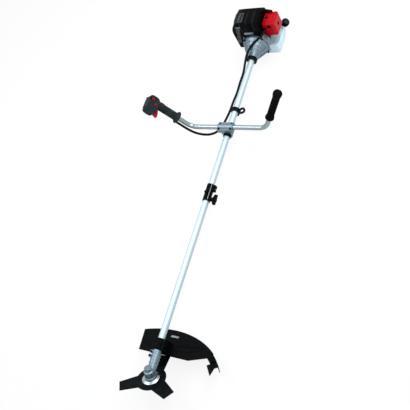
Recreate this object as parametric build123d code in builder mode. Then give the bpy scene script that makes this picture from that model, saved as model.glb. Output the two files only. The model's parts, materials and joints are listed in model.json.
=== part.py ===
from build123d import *
from math import atan, cos, pi, radians, sin, tan
import os

# Petrol brush cutter with a split shaft, lying on its fuel tank and on the rim of its guard.
# Millimetres. +X runs along the shaft from the blade to the engine, +Y to the operator's right, +Z up.
# Stations are measured along the shaft from the point where the two gear axes meet.

# Clearances
FIT = 0.05  # round seats and square drives within one moving group
RUN = 0.08  # running fits, each side
GAP = 0.4  # open gaps between pieces that move past each other
END_CHAMFER = 0.8  # ends of shafts

# Shaft tubes and drive shaft
TUBE_RADIUS = 14.0
TUBE_WALL = 1.5
DRIVE_RADIUS = 4.0
DRIVE_SQUARE = 5.0

# Drive head
HEAD_ANGLE = 58.0  # degrees between the shaft and the output axis
PINION_TEETH = 14
GEAR_TEETH = 19
GEAR_MODULE = 1.45
GEAR_FACE = 8.0
BACKLASH = 0.16  # share of the tooth thickness that is left free
OUTPUT_RADIUS = 6.0
OUTPUT_BEARING_RADIUS = 16.0
OUTPUT_BEARING_WIDTH = 10.0
PINION_SHAFT_RADIUS = 5.0
PINION_BEARING_RADIUS = 13.0
PINION_BEARING_WIDTH = 8.0
PINION_BEARING_X = 34.0
CASE_WALL = 3.5
CASE_FLOOR = -12.0  # along the output axis
UPPER_BEARING_RADIUS = 12.0
UPPER_BEARING_WIDTH = 6.0
UPPER_BEARING_LEVEL = 29.5
NECK_END = 95.0
TUBE_START = 62.0
NECK_RIB = 1.8

# Blade and its clamping stack
BLADE_RADIUS = 127.5
BLADE_THICKNESS = 2.0
BLADE_TIP_WIDTH = 47.0
BLADE_ROOT_WIDTH = 74.0
BLADE_HUB_RADIUS = 60.0
BLADE_BORE = 25.4
BLADE_TURN = 4.9  # degrees that one arm stands off the shaft's plane
CUP_RADIUS = 35.0
CUP_HEIGHT = 7.0
LOWER_FLANGE_RADIUS = 26.0
LOWER_FLANGE_HEIGHT = 6.0
NUT_RADIUS = 9.8
NUT_HEIGHT = 9.0
OUTPUT_TAIL = 8.0  # plain end that stands out below the nut
OUTPUT_TAIL_RADIUS = 5.5

# Guard
GUARD_LEVEL = 25.0  # top face above the gear axes' crossing, along the output axis
GUARD_THICKNESS = 3.0
GUARD_FRONT = 90.0  # straight front edge behind the output axis
GUARD_ARC_RADIUS = 344.0
GUARD_ARC_FORWARD = 120.0  # centre of the rear arc in front of the output axis
GUARD_ARC_SIDE = 10.0
GUARD_RIGHT_END = 23.0  # degrees of the rear arc, towards +Y
GUARD_LEFT_END = 46.0  # towards -Y, where the wing carries on
GUARD_RIGHT_EDGE = 104.0
GUARD_LEFT_EDGE = 126.0
GUARD_RIM_DEPTH = 25.3
GUARD_CLAMP_START = 97.0
GUARD_CLAMP_LENGTH = 46.0
GUARD_CLAMP_WALL = 3.5
GUARD_EAR = 26.0  # half width across the ears of the clamp
WING_WIDTH = 27.0
WING_START = 40.0
WING_END = 51.0
CUTTER_DEPTH = 14.0
CUTTER_REACH = 5.5  # degrees past the end of the wing

# Coupler
COUPLER_START = 752.0
COUPLER_LENGTH = 80.0
COUPLER_RADIUS = 17.5
SPLIT = 799.0  # end of the lower tube
SPLIT_GAP = 1.0
KNOB_OFFSET = 11.0  # clamp knob behind the mouth of the sleeve
KNOB_SPAN = 46.0
KNOB_HEIGHT = 22.0
KNOB_THICKNESS = 11.0
STUD_RADIUS = 4.0
LATCH_OFFSET = 34.0
LATCH_RADIUS = 3.0

# Screws
SCREW_RADIUS = 2.5
SCREW_LENGTH = 16.0
SCREW_HEAD_RADIUS = 4.3
SCREW_HEAD_HEIGHT = 5.0
SCREW_SOCKET_RADIUS = 2.3
SCREW_SOCKET_DEPTH = 2.5

# Handlebar and its clamp
HANDLE_X = 1108.0
BAR_RADIUS = 11.0
BAR_WALL = 1.5
BAR_HEIGHT = 33.0  # bar centre above the shaft
BAR_RIGHT = 178.0
BAR_LEFT = 196.0
BAR_BEND = 55.0
GRIP_TILT = 29.0  # degrees that both arms lean outwards
LEFT_BACK = 12.0  # degrees that the left arm leans back
RIGHT_ARM = 146.0
LEFT_ARM = 206.0
CLAMP_LENGTH = 42.0
CLAMP_SPAN = 74.0
CLAMP_BASE_DROP = 14.0
CLAMP_PAD = 8.0  # screw pads of the cap above the bar's centre
CLAMP_WALL = 6.0
DAMPER_WALL = 3.5
DAMPER_LENGTH = 54.0
LEFT_GRIP_START = 66.0
LEFT_GRIP_LENGTH = 164.0

# Throttle grip, measured along the right arm from the bend's corner
THROTTLE_START = 80.0
FLANGE_LENGTH = 9.0
FLANGE_HALF = 29.0
GRIP_HALF = 18.5
HEAD_START = 194.0
HEAD_LENGTH = 54.0
HEAD_BACK = 23.0
HEAD_FRONT = 58.0
HEAD_DEPTH = 20.0
TRIGGER_PIVOT = (201.0, 18.0)
TRIGGER_HALF = 5.5
LOCKOUT_PIVOT = (193.0, -13.0)
LOCKOUT_HALF = 4.5
PIVOT_RADIUS = 2.5
SWITCH_PLACE = (230.0, -3.0)
SWITCH_LENGTH = 12.0
SWITCH_WIDTH = 8.0
SWITCH_TRAVEL = 6.0
SWITCH_RISE = 3.5
BUTTON_PLACE = (212.0, 16.0)
BUTTON_RADIUS = 4.5
BUTTON_RISE = 3.5
CABLE_RADIUS = 4.0
CABLE_SIDE = 22.0  # cable exit in front of the grip's axis

# Harness ring
HARNESS_X = 1220.0
HARNESS_WIDTH = 20.0
HARNESS_WALL = 4.5
HARNESS_REACH = 33.0
EYE_RADIUS = 7.0
EYE_WALL = 9.5
EYE_THICKNESS = 5.0

# Engine, along the shaft
COLLAR_X = 1502.0
COLLAR_LENGTH = 14.0
COLLAR_RADIUS = 25.0
CLUTCH_NECK_RADIUS = 26.0
CLUTCH_CONE_START = 1534.0
CLUTCH_RADIUS = 62.0
CLUTCH_END = 1598.0
UPPER_TUBE_END = 1535.0
HUB_X = 1540.0
HUB_RADIUS = 6.0
DRUM_X = 1562.0
DRUM_DEPTH = 22.0
DRUM_RADIUS = 37.0
DRUM_WALL = 3.0
SHOE_GAP = 1.0
FLYWHEEL_X = 1588.0
FLYWHEEL_RADIUS = 50.0
FLYWHEEL_WIDTH = 14.0
VANE_HEIGHT = 12.0
VANE_COUNT = 14
FAN_WALL = 5.0
FAN_BACK = 1624.0
CRANK_X = 1680.0  # cylinder axis
CHAMBER_RADIUS = 31.0
CHAMBER_HALF = 22.0
CASE_RADIUS = 40.0
CASE_END_WALL = 8.0
DECK = 36.0  # cylinder seat above the crank axis
JOURNAL_RADIUS = 8.0
WEB_RADIUS = 28.0
WEB_WIDTH = 9.0
ROD_THICKNESS = 8.0
STROKE = 34.0
BORE_RADIUS = 20.0
PISTON_LENGTH = 34.0
PISTON_PIN_DROP = 16.0
ROD_LENGTH = 73.0
CYLINDER_WALL = 4.5
FIN_COUNT = 8
FIN_PITCH = 8.5
FIN_THICKNESS = 2.4
FIN_LENGTH = 76.0
FIN_WIDTH = 68.0
HEAD_CLEARANCE = 3.0
PLUG_RADIUS = 6.0
STARTER_RADIUS = 57.0
STARTER_LENGTH = 54.0
STARTER_WALL = 3.0
TANK_DEPTH = 121.5  # underside of the tank below the shaft
TANK_TOP = 63.0
TANK_FRONT = 1650.0
TANK_REAR = 1788.0
TANK_RIGHT = 70.0
TANK_LEFT = 76.0
TANK_WALL = 2.5
TANK_CORNER = 18.0
TANK_SHOULDER = 20.0  # straight sides below the top
TANK_DRAFT = 5.0  # narrower at the bottom, each side
TANK_SLOPE = 34.0  # shorter at the bottom, at the rear
FILLER_X = 1764.0
FILLER_TILT = 45.0
FILLER_RADIUS = 14.0
FILLER_LENGTH = 20.0
FUEL_CAP_RADIUS = 18.5
FUEL_CAP_LENGTH = 19.0

# Engine cover, muffler and air cleaner
COVER_FRONT = 1601.0
COVER_REAR = 1738.0
COVER_LEFT = 41.0
COVER_RIGHT = 97.0
COVER_TOP = 148.0
COVER_CROWN = 20.0  # where the flat roof turns into the right shoulder
COVER_SHOULDER = 84.0  # where the shoulder ends in the right wall
COVER_BULGE = 21.0
COVER_BEVEL = 11.0
COVER_SLOPE = 48.0  # the roof falls towards the rear over this length
COVER_FALL = 50.0
COVER_ROUND = 10.0
COVER_BOTTOM = -18.0
COVER_WALL = 2.5
LOUVRE_COUNT = 11
LOUVRE_PITCH = 10.0
LOUVRE_HEIGHT = 4.0
LOUVRE_WIDTH = 16.0
MUFFLER_LENGTH = 84.0
MUFFLER_INNER = 45.0
MUFFLER_OUTER = 90.0
MUFFLER_LOW = 32.0
MUFFLER_HIGH = 102.0
MUFFLER_WALL = 2.0
MUFFLER_CORNER = 8.0
PORT_RADIUS = 10.0
INTAKE_LEVEL = 60.0
EXHAUST_LEVEL = 66.0
CLEANER_FRONT = 1640.0
CLEANER_LENGTH = 82.0
CLEANER_INNER = 46.0
CLEANER_OUTER = 106.0
CLEANER_LOW = 8.0
CLEANER_HIGH = 88.0
CLEANER_WALL = 2.5
CLEANER_CORNER = 9.0
CLEANER_RECESS = 8.5
BASE_THICKNESS = 3.0
BASE_BORDER = 5.0
BASE_LOW = -22.0
CARB_LENGTH = 34.0
CARB_DEPTH = 30.0
CHOKE_LEVEL = 55.0
CHOKE_ARM = 26.0
CHOKE_RADIUS = 2.5
PRIMER_X = 1706.0
PRIMER_LEVEL = -8.0
PRIMER_RADIUS = 9.0
PRIMER_HEIGHT = 12.0

# Values worked out from the ones above
BLADE_LEVEL = CASE_FLOOR - GAP - CUP_HEIGHT - BLADE_THICKNESS  # underside of the blade
sigma = radians(HEAD_ANGLE)
WING_INNER_RADIUS = GUARD_ARC_RADIUS - WING_WIDTH
tip_angle = radians(60 - BLADE_TURN) - atan(BLADE_TIP_WIDTH / 2 / BLADE_RADIUS)
FRONT_REACH = BLADE_RADIUS * cos(tip_angle) * sin(sigma) - BLADE_LEVEL * cos(sigma)
HEAD_X = (FRONT_REACH - TANK_REAR) / 2
arm_difference = (LEFT_ARM - HEAD_START - HEAD_LENGTH) * sin(radians(GRIP_TILT))
SHAFT_Y = (BAR_LEFT - BAR_RIGHT + arm_difference) / 2
SHAFT_Z = TANK_DEPTH
TUBE_BORE = TUBE_RADIUS - TUBE_WALL

# Directions of the output axis, of the two handlebar arms and of the fuel filler
OUTPUT_AXIS = Vector(cos(sigma), 0, sin(sigma))
RIGHT_AXIS = Vector(0, sin(radians(GRIP_TILT)), cos(radians(GRIP_TILT)))
LEFT_AXIS = Vector(0, -sin(radians(GRIP_TILT)), cos(radians(GRIP_TILT))).rotate(Axis.Y, LEFT_BACK)


def at(x, y=0.0, z=0.0):
    """Point given by its station along the shaft and by its distance right of and above the shaft."""
    return Vector(HEAD_X + x, SHAFT_Y + y, SHAFT_Z + z)


def facing_x(x, y=0.0, z=0.0):
    """Plane square to the shaft: own x to the right, own y up, normal towards the engine."""
    return Plane(at(x, y, z), x_dir=(0, 1, 0), z_dir=(1, 0, 0))


def facing_y(x, y=0.0, z=0.0):
    """Upright plane along the shaft: own x towards the engine, own y up, normal to the left."""
    return Plane(at(x, y, z), x_dir=(1, 0, 0), z_dir=(0, -1, 0))


def facing_z(x, y=0.0, z=0.0):
    """Level plane: own x towards the engine, own y to the right, normal up."""
    return Plane(at(x, y, z), x_dir=(1, 0, 0), z_dir=(0, 0, 1))


def disc(plane, radius, length, bore=0.0, mode=Mode.ADD):
    """Round bar or sleeve that stands on a plane."""
    with BuildSketch(plane) as section:
        Circle(radius)
        if bore > 0:
            Circle(bore, mode=Mode.SUBTRACT)
    extrude(section.sketch, amount=length, mode=mode)


def block(plane, length, width, height, mode=Mode.ADD):
    """Rectangular bar centred on a plane's origin and standing on it."""
    with BuildSketch(plane) as section:
        Rectangle(length, width)
    extrude(section.sketch, amount=height, mode=mode)


def slab(plane, corners, height, mode=Mode.ADD):
    """Straight-sided outline that is raised from a plane."""
    with BuildSketch(plane) as section:
        with BuildLine():
            Polyline(*corners, close=True)
        make_face()
    extrude(section.sketch, amount=height, mode=mode)


def turned(plane, corners, mode=Mode.ADD):
    """Half profile, as (along, radius) corners, turned about the plane's own x axis."""
    with BuildSketch(plane) as half:
        with BuildLine():
            Polyline(*corners, close=True)
        make_face()
    revolve(half.sketch, axis=Axis(plane.origin, plane.x_dir), mode=mode)


def cap_screw(seat):
    """Cap screw with its head on the seat plane and its shank below it."""
    disc(seat, SCREW_HEAD_RADIUS, SCREW_HEAD_HEIGHT)
    disc(seat, SCREW_RADIUS, -SCREW_LENGTH)
    with BuildSketch(seat.offset(SCREW_HEAD_HEIGHT)) as socket:
        RegularPolygon(SCREW_SOCKET_RADIUS, 6)
    extrude(socket.sketch, amount=-SCREW_SOCKET_DEPTH, mode=Mode.SUBTRACT)


def screw_holes(seats):
    """Holes for the shanks of the screws on these seats."""
    for seat in seats:
        disc(seat, SCREW_RADIUS + FIT, -SCREW_LENGTH - GAP, mode=Mode.SUBTRACT)


def polar(radius, angle):
    """Point at a radius and an angle in radians."""
    return (radius * cos(angle), radius * sin(angle))


# Axis planes that turned pieces are drawn on
shaft_axis = facing_y(0)
head = Plane(at(0), x_dir=(sin(sigma), 0, -cos(sigma)), z_dir=OUTPUT_AXIS)
output_axis = Plane(at(0), x_dir=OUTPUT_AXIS, z_dir=(0, -1, 0))

# Pitch cones of the bevel gears, from the tooth numbers and the shaft angle
PINION_CONE = atan(sin(sigma) / (GEAR_TEETH / PINION_TEETH + cos(sigma)))
GEAR_CONE = sigma - PINION_CONE
CONE_DISTANCE = GEAR_MODULE * PINION_TEETH / 2 / sin(PINION_CONE)
ADDENDUM_ANGLE = atan(GEAR_MODULE / CONE_DISTANCE)
DEDENDUM_ANGLE = atan(1.25 * GEAR_MODULE / CONE_DISTANCE)


def tooth_outline(plane, height, cone, teeth, middle):
    """Section of one bevel tooth at a height above the cones' common point."""
    root = height * tan(cone - DEDENDUM_ANGLE)
    pitch = height * tan(cone)
    tip = height * tan(cone + ADDENDUM_ANGLE)
    half = pi / 2 / teeth * (1 - BACKLASH)
    lean = tan(radians(20)) / pitch
    corners = [
        polar(root * 0.9, middle - half - (pitch - root) * lean),
        polar(tip, middle - half + (tip - pitch) * lean),
        polar(tip, middle + half - (tip - pitch) * lean),
        polar(root * 0.9, middle + half + (pitch - root) * lean),
    ]
    with BuildSketch(plane.offset(height)) as section:
        with BuildLine():
            Polyline(*corners, close=True)
        make_face()
    return section.sketch


def bevel_teeth(plane, cone, teeth, first):
    """Cone frustum with its straight bevel teeth, on the plane of the cones' common point."""
    outer = CONE_DISTANCE * cos(cone)
    inner = outer - GEAR_FACE * cos(cone)
    root = tan(cone - DEDENDUM_ANGLE)
    with BuildSketch(plane.offset(inner)) as small:
        Circle(inner * root)
    with BuildSketch(plane.offset(outer)) as large:
        Circle(outer * root)
    loft([small.sketch.face(), large.sketch.face()])
    for index in range(teeth):
        middle = first + 2 * pi * index / teeth
        thin = tooth_outline(plane, inner, cone, teeth, middle)
        thick = tooth_outline(plane, outer, cone, teeth, middle)
        loft([thin.face(), thick.face()], ruled=True)


# Bevel pinion: teeth, hub and the shaft that takes the square end of the drive shaft
pinion_plane = facing_x(0)
PINION_BACK = CONE_DISTANCE * cos(PINION_CONE)
PINION_SOCKET_X = PINION_BEARING_X + 2 * PINION_BEARING_WIDTH
PINION_END = TUBE_START - GAP
with BuildPart() as bevel_pinion:
    bevel_teeth(pinion_plane, PINION_CONE, PINION_TEETH, pi / 2)
    disc(facing_x(PINION_BACK), PINION_SHAFT_RADIUS + 2.5, PINION_BEARING_X - PINION_BACK)
    disc(facing_x(PINION_BEARING_X), PINION_SHAFT_RADIUS, PINION_END - PINION_BEARING_X)
    square = DRIVE_SQUARE + 2 * FIT
    block(facing_x(PINION_SOCKET_X), square, square, PINION_END - PINION_SOCKET_X, mode=Mode.SUBTRACT)

with BuildPart() as pinion_bearings:
    for place in range(2):
        start = PINION_BEARING_X + place * PINION_BEARING_WIDTH
        disc(facing_x(start), PINION_BEARING_RADIUS, PINION_BEARING_WIDTH, PINION_SHAFT_RADIUS + RUN)

# Driven gear on the output shaft, with its hub up to the upper bearing
GEAR_BACK = CONE_DISTANCE * cos(GEAR_CONE)
GEAR_FRONT = GEAR_BACK - GEAR_FACE * cos(GEAR_CONE)
with BuildPart() as driven_gear:
    bevel_teeth(head, GEAR_CONE, GEAR_TEETH, pi / GEAR_TEETH)
    disc(head.offset(GEAR_BACK), OUTPUT_RADIUS + 3, UPPER_BEARING_LEVEL - GEAR_BACK)
    depth = UPPER_BEARING_LEVEL - GEAR_FRONT
    disc(head.offset(GEAR_FRONT), OUTPUT_RADIUS + FIT, depth, mode=Mode.SUBTRACT)

# Output shaft from the upper bearing down to the threaded tail
LOWER_BEARING_LEVEL = CASE_FLOOR + GAP
NUT_LEVEL = BLADE_LEVEL - LOWER_FLANGE_HEIGHT - NUT_HEIGHT
UPPER_BEARING_END = UPPER_BEARING_LEVEL + UPPER_BEARING_WIDTH
with BuildPart() as output_shaft:
    disc(head.offset(NUT_LEVEL), OUTPUT_RADIUS, UPPER_BEARING_END - NUT_LEVEL)
    disc(head.offset(NUT_LEVEL - OUTPUT_TAIL), OUTPUT_TAIL_RADIUS, OUTPUT_TAIL)
    shaft_ends = output_shaft.faces().sort_by(Axis(head.origin, head.z_dir))
    chamfer(shaft_ends[0].edges() + shaft_ends[-1].edges(), END_CHAMFER)

with BuildPart() as output_bearings:
    bore = OUTPUT_RADIUS + RUN
    disc(head.offset(LOWER_BEARING_LEVEL), OUTPUT_BEARING_RADIUS, OUTPUT_BEARING_WIDTH, bore)
    disc(head.offset(UPPER_BEARING_LEVEL), UPPER_BEARING_RADIUS, UPPER_BEARING_WIDTH, bore)

# Gear case: barrel round the output axis and ribbed neck round the shaft
BARREL_RADIUS = OUTPUT_BEARING_RADIUS + CASE_WALL
CAP_RADIUS = UPPER_BEARING_RADIUS + CASE_WALL - 1
NECK_RADIUS = TUBE_RADIUS + CASE_WALL
NECK_START = (CASE_FLOOR + NECK_RADIUS * sin(sigma)) / cos(sigma) + CASE_WALL
LUG_HALF = 9.0
lug_side = NECK_RADIUS + SCREW_HEAD_RADIUS
case_seats = [facing_z(NECK_END - offset, lug_side, LUG_HALF) for offset in (9, 25)]
with BuildPart() as gear_case:
    top = UPPER_BEARING_END + CASE_WALL
    barrel = [
        (CASE_FLOOR, 0),
        (CASE_FLOOR, BARREL_RADIUS + 3),
        (CASE_FLOOR + 5, BARREL_RADIUS + 3),
        (CASE_FLOOR + 9, BARREL_RADIUS),
        (GEAR_BACK + GAP, BARREL_RADIUS),
        (GEAR_BACK + CASE_WALL, CAP_RADIUS),
        (top - 2, CAP_RADIUS),
        (top, CAP_RADIUS - 2),
        (top, 0),
    ]
    turned(output_axis, barrel)
    disc(facing_x(NECK_START), NECK_RADIUS, NECK_END - NECK_START)
    for rib in range(4):
        disc(facing_x(NECK_END - 12 - 13 * rib), NECK_RADIUS + NECK_RIB, 4)
    for seat in case_seats:
        block(seat, 2 * SCREW_HEAD_RADIUS + 3, 3 * SCREW_HEAD_RADIUS, -2 * LUG_HALF)
    gear_depth = GEAR_BACK + GAP - CASE_FLOOR
    disc(head.offset(CASE_FLOOR), OUTPUT_BEARING_RADIUS + FIT, gear_depth, mode=Mode.SUBTRACT)
    bearing_depth = UPPER_BEARING_END - GEAR_BACK
    disc(head.offset(GEAR_BACK), UPPER_BEARING_RADIUS + FIT, bearing_depth, mode=Mode.SUBTRACT)
    cavity = PINION_BEARING_RADIUS - 0.5
    disc(facing_x(0), cavity, PINION_BEARING_X, mode=Mode.SUBTRACT)
    seat_depth = TUBE_START - PINION_BEARING_X
    disc(facing_x(PINION_BEARING_X), PINION_BEARING_RADIUS + FIT, seat_depth, mode=Mode.SUBTRACT)
    disc(facing_x(TUBE_START), TUBE_RADIUS + FIT, NECK_END - TUBE_START, mode=Mode.SUBTRACT)
    screw_holes(case_seats)

# Blade and the stack that clamps it: flange cup above, flange and nut below
BLADE_TOP = BLADE_LEVEL + BLADE_THICKNESS
with BuildPart() as upper_flange:
    rise = CASE_FLOOR - GAP
    profile = [
        (BLADE_TOP, OUTPUT_RADIUS + FIT),
        (BLADE_TOP, CUP_RADIUS),
        (BLADE_TOP + 2, CUP_RADIUS),
        (rise - 1, CUP_RADIUS - 7),
        (rise, CUP_RADIUS - 9),
        (rise, OUTPUT_RADIUS + FIT),
    ]
    turned(output_axis, profile)

with BuildPart() as blade:
    with BuildSketch(head.offset(BLADE_LEVEL)):
        Circle(BLADE_HUB_RADIUS)
        reach = (BLADE_RADIUS**2 - (BLADE_TIP_WIDTH / 2) ** 2) ** 0.5
        with PolarLocations(0, 3, start_angle=BLADE_TURN):
            with BuildLine(mode=Mode.PRIVATE) as arm:
                Polyline(
                    (0, -BLADE_ROOT_WIDTH / 2),
                    (reach, -BLADE_TIP_WIDTH / 2),
                    (reach, BLADE_TIP_WIDTH / 2),
                    (0, BLADE_ROOT_WIDTH / 2),
                    close=True,
                )
            add(make_face(arm.line.edges(), mode=Mode.PRIVATE))
        Circle(BLADE_BORE / 2, mode=Mode.SUBTRACT)
    extrude(amount=BLADE_THICKNESS)

# The lower flange's spigot centres the blade on the output shaft
with BuildPart() as lower_flange:
    disc(head.offset(BLADE_LEVEL), LOWER_FLANGE_RADIUS, -LOWER_FLANGE_HEIGHT)
    disc(head.offset(BLADE_LEVEL), BLADE_BORE / 2 - FIT, BLADE_THICKNESS)
    bottom = BLADE_LEVEL - LOWER_FLANGE_HEIGHT
    depth = LOWER_FLANGE_HEIGHT + BLADE_THICKNESS
    disc(head.offset(bottom), OUTPUT_RADIUS + FIT, depth, mode=Mode.SUBTRACT)

with BuildPart() as blade_nut:
    with BuildSketch(head.offset(NUT_LEVEL)):
        RegularPolygon(NUT_RADIUS, 6)
        Circle(OUTPUT_RADIUS + FIT, mode=Mode.SUBTRACT)
    extrude(amount=NUT_HEIGHT)

# Lower tube, and its drive shaft with a square at both ends
DRIVE_FRONT = PINION_SOCKET_X + GAP
DRIVE_SPLIT = SPLIT + 8.0
SOCKET_DEPTH = 16.0
with BuildPart() as lower_tube:
    disc(facing_x(TUBE_START), TUBE_RADIUS, SPLIT - TUBE_START, TUBE_BORE)

with BuildPart() as lower_drive_shaft:
    disc(facing_x(PINION_END + GAP), DRIVE_RADIUS, SPLIT - SOCKET_DEPTH / 2 - PINION_END - GAP)
    block(facing_x(DRIVE_FRONT), DRIVE_SQUARE, DRIVE_SQUARE, DRIVE_SPLIT - DRIVE_FRONT)

# Guard: plate behind the blade with a deep rim along its rear arc and a saddle up to the tube
guard_under = head.offset(GUARD_LEVEL - GUARD_THICKNESS)


def guard_point(radius, angle):
    """Point of the guard, about the centre of its rear arc, angles in degrees towards +Y."""
    across = radians(angle)
    return (radius * cos(across) - GUARD_ARC_FORWARD, radius * sin(across) + GUARD_ARC_SIDE)


def guard_sector(plane, inner, outer, first, last, height):
    """Curved bar between two radii and two angles about the centre of the rear arc."""
    middle = (first + last) / 2
    with BuildSketch(plane) as section:
        with BuildLine():
            ThreePointArc(*[guard_point(outer, angle) for angle in (first, middle, last)])
            Line(guard_point(outer, last), guard_point(inner, last))
            ThreePointArc(*[guard_point(inner, angle) for angle in (last, middle, first)])
            Line(guard_point(inner, first), guard_point(outer, first))
        make_face()
    extrude(section.sketch, amount=height)


def under_guard(x):
    """Height of the middle of the guard's plate at a station along the shaft."""
    level = GUARD_LEVEL - GUARD_THICKNESS / 2
    return (level - x * cos(sigma)) / sin(sigma)


GUARD_CLAMP_END = GUARD_CLAMP_START + GUARD_CLAMP_LENGTH
EAR_SIDE = GUARD_EAR - SCREW_HEAD_RADIUS - 0.7
EAR_TOP = 7.0
guard_seats = [
    facing_z(x, side * EAR_SIDE, EAR_TOP)
    for x in (GUARD_CLAMP_START + 11, GUARD_CLAMP_END - 11)
    for side in (-1, 1)
]
WING_MIDDLE = (WING_INNER_RADIUS + GUARD_ARC_RADIUS) / 2
wing_places = [guard_point(WING_MIDDLE, angle) for angle in (-WING_START - 1.4, 1.4 - GUARD_LEFT_END)]
wing_seats = [
    Plane(head.from_local_coords(Vector(*place, GUARD_LEVEL)), z_dir=OUTPUT_AXIS) for place in wing_places
]
with BuildPart() as guard:
    with BuildSketch(guard_under):
        with BuildLine():
            arc_ends = (GUARD_RIGHT_END, (GUARD_RIGHT_END - GUARD_LEFT_END) / 2, -GUARD_LEFT_END)
            ThreePointArc(*[guard_point(GUARD_ARC_RADIUS, angle) for angle in arc_ends])
            Polyline(
                guard_point(GUARD_ARC_RADIUS, -GUARD_LEFT_END),
                guard_point(WING_INNER_RADIUS, -GUARD_LEFT_END),
                guard_point(WING_INNER_RADIUS, -WING_START),
                (GUARD_FRONT, -GUARD_LEFT_EDGE),
                (GUARD_FRONT, GUARD_RIGHT_EDGE),
                guard_point(GUARD_ARC_RADIUS, GUARD_RIGHT_END),
            )
        make_face()
    extrude(amount=GUARD_THICKNESS)
    rim_inner = GUARD_ARC_RADIUS - GUARD_THICKNESS
    rim_end = 1 - WING_START
    guard_sector(guard_under, rim_inner, GUARD_ARC_RADIUS, GUARD_RIGHT_END, rim_end, -GUARD_RIM_DEPTH)
    bead = GUARD_ARC_RADIUS + GUARD_THICKNESS
    guard_sector(guard_under, rim_inner, bead, GUARD_RIGHT_END, rim_end, GUARD_THICKNESS)
    saddle = [
        (GUARD_CLAMP_START, 0),
        (GUARD_CLAMP_END, 0),
        (GUARD_CLAMP_END, under_guard(GUARD_CLAMP_END)),
        (GUARD_CLAMP_START, under_guard(GUARD_CLAMP_START)),
    ]
    slab(facing_y(0, GUARD_EAR, 0), saddle, 2 * GUARD_EAR)
    disc(facing_x(GUARD_CLAMP_START), TUBE_RADIUS + FIT, GUARD_CLAMP_LENGTH, mode=Mode.SUBTRACT)
    screw_holes(guard_seats)
    screw_holes(wing_seats)

# Clamp cap that holds the saddle to the tube
with BuildPart() as guard_clamp:
    cap_radius = TUBE_RADIUS + GUARD_CLAMP_WALL
    disc(facing_x(GUARD_CLAMP_START), cap_radius, GUARD_CLAMP_LENGTH)
    middle = GUARD_CLAMP_START + GUARD_CLAMP_LENGTH / 2
    block(facing_z(middle), GUARD_CLAMP_LENGTH, 2 * GUARD_EAR, EAR_TOP)
    disc(facing_x(GUARD_CLAMP_START), TUBE_RADIUS + FIT, GUARD_CLAMP_LENGTH, mode=Mode.SUBTRACT)
    split(bisect_by=facing_z(0, 0, GAP), keep=Keep.TOP)
    screw_holes(guard_seats)

# Wing that lengthens the guard on the left, screwed under the plate, and the cutter at its tip
wing_under = guard_under.offset(-GUARD_THICKNESS)
with BuildPart() as guard_wing:
    guard_sector(wing_under, WING_INNER_RADIUS, GUARD_ARC_RADIUS, -WING_START, -WING_END, GUARD_THICKNESS)
    rim_inner = GUARD_ARC_RADIUS - GUARD_THICKNESS
    guard_sector(wing_under, rim_inner, GUARD_ARC_RADIUS, -WING_START, -WING_END, -GUARD_RIM_DEPTH)
    screw_holes(wing_seats)

cutter_under = wing_under.offset(-BLADE_THICKNESS)
CUTTER_ROOT = WING_INNER_RADIUS + 0.3 * WING_WIDTH
with BuildPart() as line_cutter:
    root = guard_point(CUTTER_ROOT, CUTTER_REACH - WING_END)
    heel = guard_point(WING_INNER_RADIUS - CUTTER_DEPTH, CUTTER_REACH - WING_END)
    tip = guard_point(WING_INNER_RADIUS - CUTTER_DEPTH, -WING_END - CUTTER_REACH)
    outer = guard_point(CUTTER_ROOT, -WING_END)
    slab(cutter_under, [root, outer, tip, heel], BLADE_THICKNESS)

# Screws of the lower boom
with BuildPart() as boom_screws:
    for seat in case_seats + guard_seats + wing_seats:
        cap_screw(seat)

# Coupler: sleeve that holds the upper tube and takes the lower one
COUPLER_END = COUPLER_START + COUPLER_LENGTH
KNOB_X = COUPLER_START + KNOB_OFFSET
BOSS_RADIUS = STUD_RADIUS + 5.0
BOSS_END = COUPLER_RADIUS + 6.0
LATCH_X = COUPLER_START + LATCH_OFFSET
LATCH_BOSS = 5.0
coupler_lug = COUPLER_RADIUS + SCREW_HEAD_RADIUS - 1
coupler_seats = [facing_z(COUPLER_END - offset, -coupler_lug, LUG_HALF) for offset in (9, 25)]
with BuildPart() as coupler_sleeve:
    disc(facing_x(COUPLER_START), COUPLER_RADIUS, COUPLER_LENGTH)
    disc(facing_y(KNOB_X), BOSS_RADIUS, BOSS_END)
    disc(facing_z(LATCH_X), LATCH_RADIUS + 3, COUPLER_RADIUS + LATCH_BOSS)
    for seat in coupler_seats:
        block(seat, 2 * SCREW_HEAD_RADIUS + 3, 3 * SCREW_HEAD_RADIUS, -2 * LUG_HALF)
    disc(facing_x(COUPLER_START), TUBE_RADIUS + RUN, COUPLER_LENGTH, mode=Mode.SUBTRACT)
    disc(facing_y(KNOB_X), STUD_RADIUS + RUN, BOSS_END, mode=Mode.SUBTRACT)
    disc(facing_z(LATCH_X), LATCH_RADIUS + RUN, COUPLER_RADIUS + LATCH_BOSS, mode=Mode.SUBTRACT)
    screw_holes(coupler_seats)

# Clamp knob: stud that stops short of the tube, hub and two wings
with BuildPart() as coupler_knob:
    disc(facing_y(KNOB_X, -TUBE_RADIUS - GAP), STUD_RADIUS, BOSS_END - TUBE_RADIUS)
    hub = facing_y(KNOB_X, -BOSS_END - GAP)
    disc(hub, BOSS_RADIUS, KNOB_HEIGHT)
    wings = [
        (-KNOB_SPAN / 2, KNOB_HEIGHT),
        (-KNOB_SPAN / 2, KNOB_HEIGHT / 2),
        (0, GAP),
        (KNOB_SPAN / 2, KNOB_HEIGHT / 2),
        (KNOB_SPAN / 2, KNOB_HEIGHT),
    ]
    across = Plane(hub.origin, x_dir=(1, 0, 0), z_dir=(0, 0, 1)).offset(-KNOB_THICKNESS / 2)
    slab(across, [(along, -rise) for along, rise in wings], KNOB_THICKNESS)

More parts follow.
